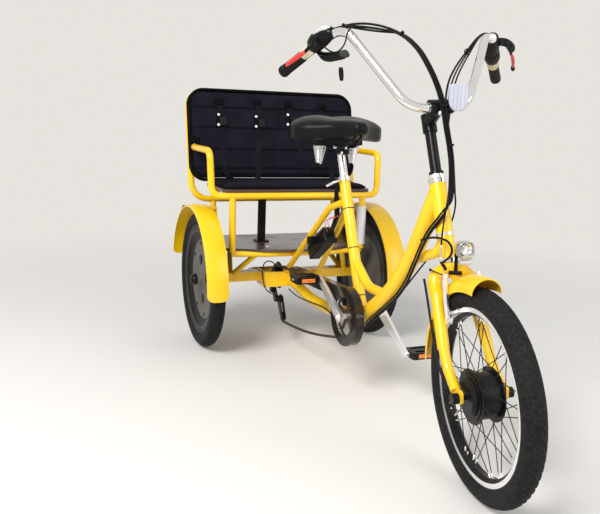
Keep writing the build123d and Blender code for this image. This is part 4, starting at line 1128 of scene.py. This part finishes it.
def refine(piece):
    """One level of subdivision, applied, and smooth shading."""
    smooth = piece.modifiers.new("smooth", "SUBSURF")
    smooth.levels = 1
    smooth.render_levels = 1
    bpy.context.view_layer.objects.active = piece
    bpy.ops.object.modifier_apply(modifier="smooth")
    piece.data.shade_smooth()


refine(back_pad)
press_channels(back_pad)
print("backrest points:", len(back_pad.data.vertices))

# %% [markdown]
# ### Piping
# A thin cord sewn in cloth runs round each face of the backrest. It is a tube on the pad's own outline.

# %% Piping
edge_line = rounded_block(702, 357, 1, 60, 0.1)[0] + [BACK_MIDDLE, BACK_HEIGHT, 0]
for word, out in (("front", 40.0), ("rear", 18.0)):
    line = on_back(edge_line[:, 0], edge_line[:, 1], np.full(len(edge_line), out))
    grid_piece(f"backrest_piping_{word}", tube_along(line, 0.0056, closed=True), "piping_cloth", "frame",
               closed_rows=True)

# %% [markdown]
# ### Seat belts
# Four webbing straps hang down the backrest. Each is a flat ribbon that follows a line on the cushion, with a
# stitched patch at its top and a plastic buckle part of the way down. Small white discs mark the tabs.


# %% Oval bars and ribbons
def oval_bar(line, wide, width, thick, square=1.0, sides=16):
    """Rings along a line: w cos^q a across it and t sin^q a through it. A small q squares the section."""
    run = unit(np.gradient(line, axis=0))
    through = unit(np.cross(run, wide))
    wide = np.cross(through, run)
    a = full_turn(sides)
    c, d = powered(np.cos(a), square), powered(np.sin(a), square)
    half, rise = (np.broadcast_to(v, len(line))[:, None, None] / 2 for v in (width, thick))
    return line[:, None] + half * c[:, None] * wide[:, None] + rise * d[:, None] * through[:, None]


def eased(points, count=48):
    """Points on straight runs between the given ones, with the corners rounded by a short moving average."""
    line = between(points, count)
    kernel = np.hanning(9)[1:-1] / np.hanning(9).sum()
    inner = np.stack([np.convolve(np.pad(column, 3, "reflect", reflect_type="odd"), kernel, "valid")
                      for column in line.T], axis=1)
    inner[0], inner[-1] = line[0], line[-1]
    return inner


# %% Seat belts
# places on the backrest, across and up, from the anchor down
BELTS = [
    [(-239, 380), (-230, 345), (-227, 316), (-229, 256), (-228, 169), (-225, 113), (-215, 85), (-199, 69)],
    [(-79, 382), (-70, 350), (-66, 313), (-78, 264), (-80, 191), (-84, 97), (-95, 49)],
    [(55, 379), (66, 350), (79, 325), (86, 285), (92, 227), (108, 173), (124, 131), (140, 90)],
    [(208, 377), (203, 345), (200, 310), (206, 250), (218, 195), (237, 120), (245, 60)],
]
FACE = 50.0
TAB_SHIFT = (0.0, -4.0, -11.0, 0.0)
buckle_spots = []


def on_belt(name, line, width, thick, square, finish_name, slot=None):
    """A flat bar on the front of the backrest, as wide as the width across it."""
    return grid_piece(name, oval_bar(line, back_right, width, thick, square), finish_name, "frame", slot=slot)


for number, places in enumerate(BELTS, 1):
    across, up = eased(places).T
    line = on_back(across, up, FACE + 1.6 * np.sin(np.linspace(0, 9, len(up)) + number))
    belt_piece = on_belt(f"seat_belt_{number}", line, 0.024, 0.0022, 0.35, "webbing")
    (x, y), (bx, by) = places[0], places[2]
    puff = 2.5 * np.sin(np.linspace(0, np.pi, 9))
    line = on_back(np.full(9, x), np.linspace(y + 13, y - 12, 9), FACE + puff)
    on_belt(f"belt_patch_{number}", line, 0.034, 0.007, 0.4, "piping_cloth")
    tab_x = bx - 15 + TAB_SHIFT[number - 1]
    line = on_back(np.linspace(tab_x, tab_x - 4, 9), np.linspace(by + 24, by - 34, 9), np.full(9, FACE + 1.0))
    on_belt(f"belt_tab_{number}", line, 0.019, 0.006, 0.4, "piping_cloth")
    line = on_back(np.linspace(bx + 2, bx + 4, 13), np.linspace(by + 4, by - 30, 13), np.full(13, FACE + 4.0))
    waisted = 0.026 + 0.008 * np.sin(np.linspace(0, 2.6 * np.pi, 13)) ** 2
    on_belt(f"belt_buckle_{number}", line, waisted, 0.010, 0.5, "grip_rubber", "black_plastic")
    if number < len(BELTS):
        buckle_spots += [on_back(tab_x - 1, by + 13, FACE + 4.5), on_back(tab_x - 3, by - 27, FACE + 4.5)]
print("seat belts:", len(BELTS), "spots:", len(buckle_spots))
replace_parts(belt_piece, "seat_straps")
spot = lathe([(0, -1), (5.4, -1), (5.6, 0.4), (4.6, 1.1), (0, 1.2)], 16)
many("belt_spots", [(place, facing(back_out)) for place in buckle_spots], spot, "white_sleeve", "frame")

# %% [markdown]
# ### Cloth tab at the arm
# A short end of cloth sticks out of the backrest's right edge. It is a thick bar along a slightly wavy line.

# %% Cloth tab at the arm
line = on_back(np.linspace(-356, -322, 12), 225 + 3 * np.sin(np.linspace(0, 4, 12)), np.full(12, 46.0))
grid_piece("arm_cloth_tab", oval_bar(line, back_up, 0.030, 0.012, 0.5), "piping_cloth", "frame")

# %% [markdown]
# ### Seat pad
# The seat is a thinner pad on a board, swelled the same way, with one seam round its edge.


# %% Seat pad
SEAT_MIDDLE = -17


def on_seat(across, forward, up):
    """Drawing millimetres on the seat board: across to the right, forward and up."""
    return metres(np.stack([forward + SEAT_MIDDLE, -across, up], axis=-1))


block = rounded_block(576, 214, 12, 22, 5) + [0, 0, 615.4]
seat_pad = grid_piece("seat_pad", on_seat(*np.moveaxis(block, -1, 0)), "bench_cloth", "frame")
swell(seat_pad, 0.006, 2.0, 0.004)
refine(seat_pad)
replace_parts(seat_pad, "seat_cushion")
edge_line = rounded_block(580, 218, 1, 24, 0.1)[0]
line = on_seat(edge_line[:, 0], edge_line[:, 1], np.full(len(edge_line), 619.0))
grid_piece("seat_piping", tube_along(line, 0.003, closed=True), "piping_cloth", "frame", closed_rows=True)

# %% [markdown]
# ### Saddle
# A wide saddle with a nose, of foam under a cover. Its section is a superellipse whose width and height
# change smoothly from tail to nose. A shallow hollow runs down its middle.

# %% Saddle
# place along the machine, half width, lowest point, highest point
SADDLE = np.array([
    (322, 60, 840, 868), (324, 92, 831, 879), (332, 116, 824, 887), (348, 140, 817, 892),
    (372, 155, 813, 894), (402, 162, 811, 892), (432, 159, 811, 888), (458, 138, 814, 885),
    (484, 102, 818, 883), (512, 68, 823, 884), (542, 46, 828, 885), (572, 33, 834, 882),
    (592, 26, 840, 878), (602, 17, 846, 872),
], float)


def saddle_grid(rows=96, columns=72):
    """Points half (cos a)^p across and reach (sin a)^q up, on each section from tail to nose. The top has a
    hollow along its middle and falls off to the sides, and the wings at the tail droop."""
    x, half, low, high = between(SADDLE, rows).T
    kernel = np.hanning(9) / np.hanning(9).sum()
    half, low, high = (np.convolve(np.pad(v, 4, "edge"), kernel, "valid")[:, None] for v in (half, low, high))
    x = x[:, None]
    a = full_turn(columns)
    below = np.sin(a) < 0
    across = powered(np.cos(a), np.where(below, 0.42, 0.62))
    up = powered(np.sin(a), np.where(below, 0.45, 0.62))
    top = np.clip(up, 0, 1)
    y = half * across
    hollow = 9.0 * np.exp(-(y / 34) ** 2) * top * np.exp(-((x - 420) / 90) ** 2)
    wing = np.clip(half / 160, 0, 1) ** 2
    side_fall = 12.0 * np.abs(across) ** 4 * top + wing * np.abs(across) ** 3 * np.where(below, 13.0, 5.0)
    z = (low + high) / 2 + (high - low) / 2 * up - hollow - side_fall
    z += wing * 8.0 * np.where(below, 1 - np.abs(across) ** 2, 0.3)
    return metres(np.stack(np.broadcast_arrays(x, y, z), axis=-1))


saddle = grid_piece("saddle_cover", saddle_grid(), "saddle_cover", "frame")
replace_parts(saddle, "saddle")
print("saddle points:", len(saddle.data.vertices))

# %% [markdown]
# ### Saddle springs and nuts
# Two steel coils hold the tail up. A coil is a tube on a helix whose radius grows as it climbs, so that each
# spring is a cone. The clamp under the saddle has a six-sided nut at each end.

# %% Saddle springs and nuts
COIL_TURNS = 12.5
COIL_X, COIL_OUT, COIL_FOOT, COIL_HEIGHT = 410, 61, 736, 61
turns = np.linspace(0, 2 * np.pi * COIL_TURNS, 330)
share = turns / turns[-1]
radius = 7.5 + 14.0 * share
for side, word in SIDES:
    across = side * COIL_OUT + radius * np.sin(turns)
    coil = np.stack([COIL_X + radius * np.cos(turns), across, COIL_FOOT + COIL_HEIGHT * share], axis=1)
    grid_piece(f"saddle_spring_{word}", tube_along(metres(coil), 0.0028, 8), "chrome", "frame")
nut = lathe([(0, -5), (6.5, -5), (6.5, 5), (4, 6), (0, 6)], 6)
NUTS = [((462, -27, 794), -LEFT), ((462, 27, 794), LEFT), ((468, 8, 792), (1, 0, 0.2)),
        ((466, -8, 775), (1, -0.3, 0))]
nut_places = [(metres(at), facing(way)) for at, way in NUTS]
many("saddle_clamp_nuts", nut_places, nut, "chrome", "frame", smooth=False)

# %% [markdown]
# ## Controls on the bar
# Each grip carries a rubber sleeve, a pale band, a round housing and a brake lever. All are rings along
# the grip's own line, so one function takes a table of stations: how far along, how far off it, how big.

# %% Controls on the bar
BAR_ENDS = {-1: ((895, -204, 1139), (713, -330, 1031)), 1: ((895, 204, 1121), (713, 330, 1001))}


def on_bar(side, along, up, out):
    """Drawing millimetres on one grip: along it from its end, up across it, and out towards the lever."""
    corner, end = (np.array(place, float) for place in BAR_ENDS[side])
    run = unit(corner - end)
    rise = unit(UP - run[2] * run)
    away = -side * np.cross(run, rise)
    along, up, out = (np.asarray(v, float)[..., None] for v in np.broadcast_arrays(along, up, out))
    return steered(end + along * run + up * rise + out * away)


def sleeve(name, side, stations, finish_name):
    """Rings up + a cos t and out + b sin t, with along, up, out, a and b read from the stations."""
    along, up, out, high, deep = (column[:, None] for column in eased(stations, 8 * len(stations)).T)
    a = full_turn(32)
    return grid_piece(name, on_bar(side, along, up + high * np.cos(a), out + deep * np.sin(a)), finish_name,
                      "steering")


# name, side, finish, stations
SLEEVES = [
    ("grip_right", -1, "grip_rubber",
     [(-5, 1, 0, 11, 11), (-3, 1, 0, 16, 16), (4, 1, 0, 17.5, 17.5), (20, 1, 0, 16, 16),
      (88, 2, 0, 15.5, 15.5), (91, 2, 0, 14, 14)]),
    ("grip_left", 1, "grip_rubber",
     [(-6, 0, 0, 11, 11), (-4, 0, 0, 16, 16), (10, 0, 0, 16, 16), (74, 0, 0, 15.5, 15.5),
      (78, 0, 0, 14, 14)]),
    ("pale_band_right", -1, "cream_rubber",
     [(89, 3, 1, 13, 13), (90, 3, 1, 14.5, 14.5), (126, 4, 1, 14.5, 14.5), (134, 4, 1, 14, 14)]),
    ("pale_band_left", 1, "cream_rubber",
     [(76, 0, 0, 14, 14), (77, 0, 0, 16.5, 16.5), (108, 0, 0, 17, 17), (112, 0, 0, 15, 15)]),
    ("housing_right", -1, "black_plastic",
     [(127, 5, 2, 14, 14), (130, 7, 3, 21, 19), (142, 8, 4, 24, 22), (152, 9, 4, 26, 23), (176, 9, 4, 25, 23),
      (192, 8, 4, 21, 20), (206, 6, 3, 18, 17), (212, 4, 2, 14, 14)]),
    ("housing_left", 1, "black_plastic",
     [(108, 0, 0, 15, 15), (111, 0, 1, 20, 20), (126, 0, 2, 22, 23), (152, 0, 3, 21, 22), (156, 0, 3, 19, 20),
      (162, 0, 4, 20, 21), (196, 1, 9, 19, 20), (222, 2, 12, 17, 17), (230, 2, 12, 12, 12)]),
    ("housing_cover_right", -1, "alloy",
     [(158, 24, 9, 4, 9), (162, 26, 9, 9, 16), (182, 25, 10, 11, 18), (204, 20, 8, 10, 16),
      (211, 18, 8, 5, 9)]),
    ("housing_cover_left", 1, "alloy",
     [(220, -4, 12, 9, 10), (224, -5, 12, 12, 13), (236, -4, 12, 11, 12), (241, -3, 11, 6, 8)]),
    ("lock_bracket", -1, "black_plastic",
     [(136, -4, -2, 12, 12), (137, -17, -9, 14, 13), (140, -28, -12, 15, 14), (152, -37, -16, 15, 14),
      (166, -43, -19, 14, 13), (184, -50, -21, 13, 12), (194, -53, -23, 13, 12)]),
    ("lock_barrel", -1, "dark_disc",
     [(192, -52, -22, 8, 8), (193, -52, -23, 11.5, 11), (207, -56, -25, 11.5, 11), (209, -57, -25, 9, 9)]),
    ("lever_perch_left", 1, "black_plastic",
     [(198, 2, 16, 13, 13), (198, 3, 30, 13, 13), (192, 5, 41, 13, 13), (178, 8, 50, 12, 12),
      (160, 9, 56, 12, 12), (146, 8, 57, 10, 10), (140, 8, 56, 6, 6)]),
    ("lever_perch_right", -1, "black_plastic",
     [(176, 2, 16, 11, 11), (174, -2, 30, 11, 10), (168, -8, 42, 10, 9), (160, -12, 50, 8, 8),
      (154, -13, 52, 6, 6)]),
]
# the pieces that stand for a node, which takes in both grips
STANDS_FOR = {"grip_left": "grips", "housing_left": "control_housings", "lever_blade_left": "brake_levers"}
for name, side, finish_name, stations in SLEEVES:
    held = sleeve(name, side, stations, finish_name)
    if name in STANDS_FOR:
        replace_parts(held, STANDS_FOR[name])
print("sleeves on the bar:", len(SLEEVES))

# %% [markdown]
# ### Brake levers and the key
# A lever is a flat bar that leaves its perch, bends along the grip and ends in a round tip. The key is two
# flat bars, a thin blade and a wide head. A bar's width fades at both ends, which rounds them.

# %% Brake levers and the key
ACROSS_GRIP = (0, 1, -0.5)
ALONG_GRIP = (1, 0.3, 0)
# name, side, finish, its wide direction, width, thickness, places along, up and out
BLADES = [
    ("lever_blade_right", -1, "red_plastic", ACROSS_GRIP, 0.016, 0.009,
     [(142, -18, 57), (120, -18, 59), (92, -17, 60), (66, -16, 59)]),
    ("lever_root_right", -1, "black_plastic", ACROSS_GRIP, 0.012, 0.008,
     [(164, -12, 49), (152, -15, 54), (138, -18, 57)]),
    ("lever_end_right", -1, "black_plastic", ACROSS_GRIP, 0.015, 0.010,
     [(68, -16, 59), (60, -16, 58), (54, -16, 58)]),
    ("lever_blade_left", 1, "red_plastic", ACROSS_GRIP, 0.015, 0.010,
     [(130, 6, 54), (110, 7, 57), (82, 7, 57), (58, 6, 55)]),
    ("lever_root_left", 1, "black_plastic", ACROSS_GRIP, 0.010, 0.008,
     [(148, 7, 55), (136, 6, 54), (124, 6, 54)]),
    ("lever_end_left", 1, "black_plastic", ACROSS_GRIP, 0.013, 0.012,
     [(60, 6, 55), (48, 6, 54), (38, 6, 53)]),
    ("key_head", -1, "black_plastic", ALONG_GRIP, 0.014, 0.005,
     [(167, -75, -34), (158, -86, -39), (144, -103, -47)]),
    ("key_blade", -1, "alloy", ACROSS_GRIP, 0.006, 0.002,
     [(190, -58, -27), (178, -66, -30), (166, -76, -35)]),
]
fade = np.sin(np.linspace(0.35, np.pi - 0.35, 20)) ** 0.35
for name, side, finish_name, way, width, thick, places in BLADES:
    line = on_bar(side, *eased(places, 20).T)
    wide = unit(on_bar(side, *way) - on_bar(side, 0, 0, 0))
    blade = grid_piece(name, oval_bar(line, wide, width * fade, thick * fade, 0.8), finish_name, "steering")
    if name in STANDS_FOR:
        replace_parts(blade, STANDS_FOR[name])
# the lock's own thin cable runs in its bracket from the housing, and goes up to the ties on the bar
LOCK_ROUTE = np.array([
    (172, -14, 18), (190, -34, 30), (212, -58, 44), (232.8, -70, 48), (253, -65, 44),
    (263.3, -52, 38), (267.3, -37, 30), (272.3, -26, 20), (277, -20.5, 8), (281, -17, 2),
])
free_cable("lock_cable", on_bar(-1, *LOCK_ROUTE.T), 0.004, "steering")
print("levers and key:", len(BLADES))

# %% [markdown]
# ## Lamp
# The lamp is a shell with a round bright bowl in it, a clear strip below and a clear foot. All are rings that
# run from back to front, a little squared, and a thin bent strip carries the lamp.

# %% Lamp
LAMP = np.array([1183.0, 13.0, 584.0])


def at_lamp(forward, side, rise):
    """Drawing millimetres from the lamp's middle, on the straight fork."""
    return steered(LAMP + np.stack(np.broadcast_arrays(forward, side, rise), axis=-1))


a = full_turn(40)[None, :]
square_y, square_z = powered(np.cos(a), 0.62), powered(np.sin(a), 0.62)


def lamp_form(name, stations, lift, finish_name):
    """Rings w cos t across and h sin t up, a little squared, for stations of forward, w and h."""
    forward, wide, high = (column[:, None] for column in np.array(stations, float).T)
    grid = at_lamp(forward, wide * square_y, high * square_z + lift)
    return grid_piece(name, grid, finish_name, "steering")


SHELL = [(-20, 8, 9), (-19, 13, 14), (-14, 17, 19), (-4, 19, 21.5), (12, 20, 22.5), (17, 20.5, 23),
         (19.6, 19.5, 22), (19.6, 17.4, 19.8), (15, 16.6, 19)]
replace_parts(lamp_form("lamp_shell", SHELL, 0.0, "lamp_case"), "headlamp")
BOWL = np.array([
    (15.4, 15.6), (17.5, 15.0), (13.0, 11.5), (10.5, 7.0), (10.0, 4.0), (15.0, 3.4), (17.2, 1.4),
])
bowl_grid = at_lamp(BOWL[:, :1], BOWL[:, 1:] * np.cos(a), 3 + BOWL[:, 1:] * np.sin(a))
grid_piece("lamp_bowl", bowl_grid, "chrome", "steering")
lamp_form("lamp_strip", [(14, 13, 5), (17.8, 15, 5.5), (18.6, 14, 4.6)], -17.0, "amber_strip")
lamp_form("lamp_foot_lens", [(2, 15, 5.0), (16, 16.5, 6.5), (17.5, 14, 5.0)], -29.5, "clear_prism")
BRACKET = [(-18, -9, 6), (-21, -10, -8), (-21, -10, -40), (-22, -10, -62), (-31, -10, -66)]
bracket_line = steered(LAMP + eased(BRACKET, 30))
grid_piece("lamp_bracket", oval_bar(bracket_line, LEFT, 0.010, 0.004, 0.5), "black_paint", "steering")

# %% [markdown]
# ### Front reflector
# The reflector is a shield: its half width is a function of the height, which narrows to the foot. A clip
# round the bar and a short arm hold it.

# %% Front reflector
HALF_HEIGHT = 33
height = np.linspace(-HALF_HEIGHT, HALF_HEIGHT, 24)[:, None]
to_foot = np.clip(-(height + 4) / 29, 0, 1) ** 2.2
to_ends = np.clip(np.abs(height) / HALF_HEIGHT, 0, 1) ** 14
half = 26 * (1 - 0.42 * to_foot) * (1 - to_ends * 0.35)
a = full_turn(32)[None, :]
side_way = half * powered(np.cos(a), 0.45)
face = 5 * powered(np.sin(a), 0.45) + 1.6 * np.cos(np.pi * side_way / 60)
shield = np.stack(np.broadcast_arrays(face, side_way, height), axis=-1)
shield = grid_piece("reflector_shield", steered(CLAMP + [34, 38, 24] + shield), "pale_lens", "steering")
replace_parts(shield, "front_reflector")
clip_line = CLAMP + np.linspace(27, 40, 6)[:, None] * LEFT
clip_radius = np.array([14, 16.4, 16.4, 16.4, 16.4, 14]) / 1000
grid_piece("reflector_clip", tube_along(steered(clip_line), clip_radius, 28), "black_plastic", "steering")
arm_line = CLAMP + eased([(10, 33, 8), (20, 34, 10), (31, 36, 16)], 16)
grid_piece("reflector_arm", oval_bar(steered(arm_line), LEFT, 0.012, 0.005, 0.5), "black_plastic", "steering")

# %% [markdown]
# ### Rings and a bolt on the steering axis
# A bright ring closes the head tube's foot, and a nut of several steps sits on its top. Each is a tube on the
# steering axis whose radius changes along it. A bolt's cap shows on the front of the stem's clamp, painted
# white as a painted highlight.

# %% Rings and a bolt on the steering axis
# name, finish, body, stations: distance down the axis from the head tube's top, radius
COLLARS = [
    ("head_ring", "chrome", "frame", [(131, 21.6), (131.5, 22.3), (138.5, 22.3), (139, 21.6)]),
    ("headset_nut", "alloy", "steering",
     [(-12, 19.2), (-12.4, 21.4), (-18, 21.6), (-18.6, 20.2), (-23, 20.0), (-23.5, 15)]),
]
for name, finish_name, body, stations in COLLARS:
    down, radius = np.array(stations).T
    line = metres(HEAD_TOP - STEER_UP * down[:, None])
    grid_piece(name, tube_along(line, radius / 1000, 48), finish_name, body, smooth=False, slot="chrome")
# the bolt's cap takes a white finish in place of alloy: a painted highlight
bolt_way = steered([1, 0, -0.3]) - steered([0, 0, 0])
many("stem_bolt", [(steered(CLAMP + [20, -2, -14]), facing(bolt_way))], dome, "white_sleeve", "steering",
     slot="alloy")
print("rings:", len(COLLARS))

# %% [markdown]
# ## Stage
# The floor and what lies behind it are one pale tone. The floor keeps the machine's shadow near it, and fades
# into that tone further out. Two broad soft lamps and a bright sky light it plainly.


# %% Stage
PALE = (0.80, 0.77, 0.73)


def floor_material():
    """The floor's own colour near the machine, and a plain pale glow beyond."""
    finish = Finish("floor")
    x, y = finish.along(0), finish.along(1)
    distance = (x * x + y * y) ** 0.5
    glow = finish.node("ShaderNodeEmission", {}, {0: (*PALE, 1.0), 1: 1.0})[0]
    finish.set(Base_Color=(*PALE, 1.0), Roughness=0.9)
    near = Value(finish, finish.shader.outputs[0])
    inputs = {0: distance.ramp(1.3, 3.2), 1: near, 2: glow}
    finish.show("Material Output", finish.node("ShaderNodeMixShader", {}, inputs)[0])


floor_material()
RIM_SIDES = 64
rim = full_turn(RIM_SIDES)
radii = np.array([0.0, 1.0, 2.0, 4.0, 10.0, 40.0])[:, None]
floor_grid = np.stack(np.broadcast_arrays(radii * np.cos(rim), radii * np.sin(rim), 0.0), axis=-1)
floor_faces = grid_faces(len(radii), RIM_SIDES, False)[:, ::-1]
floor = make_mesh("floor", floor_grid.reshape(-1, 3), floor_faces, "floor")
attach(floor, "frame")

# %% Sky and lamps
SKY = (0.94, 0.97, 1.0)
SKY_STRENGTH = 0.58
world = bpy.data.worlds.new("sky")
bpy.context.scene.world = world
world.use_nodes = True
graph = Graph(world.node_tree)
sky = graph.tree.nodes["Background"]
graph.plug(sky.inputs[0], (*SKY, 1.0))
graph.plug(sky.inputs[1], SKY_STRENGTH)
rays = graph.node("ShaderNodeLightPath")
shown = graph.node("ShaderNodeBackground", {}, {0: (*PALE, 1.0), 1: 1.0})[0]
either = rays["Is Camera Ray"].math("MAXIMUM", rays["Is Glossy Ray"])
pick = graph.node("ShaderNodeMixShader", {}, {0: either, 1: Value(graph, sky.outputs[0]), 2: shown})
graph.show("World Output", pick[0])


def soft_lamp(name, place, size, power):
    """A square lamp that looks at the machine's middle."""
    lamp = bpy.data.lights.new(name, "AREA")
    lamp.size = size
    lamp.energy = power
    made = bpy.data.objects.new(name, lamp)
    bpy.context.scene.collection.objects.link(made)
    made.location = place
    made.rotation_euler = (Vector((0, 0, 0.5)) - Vector(place)).to_track_quat("-Z", "Y").to_euler()


soft_lamp("key", (2.2, -3.2, 3.6), 1.8, 230)
soft_lamp("fill", (3.4, 2.4, 2.2), 3.0, 60)
print("lamps: 2")
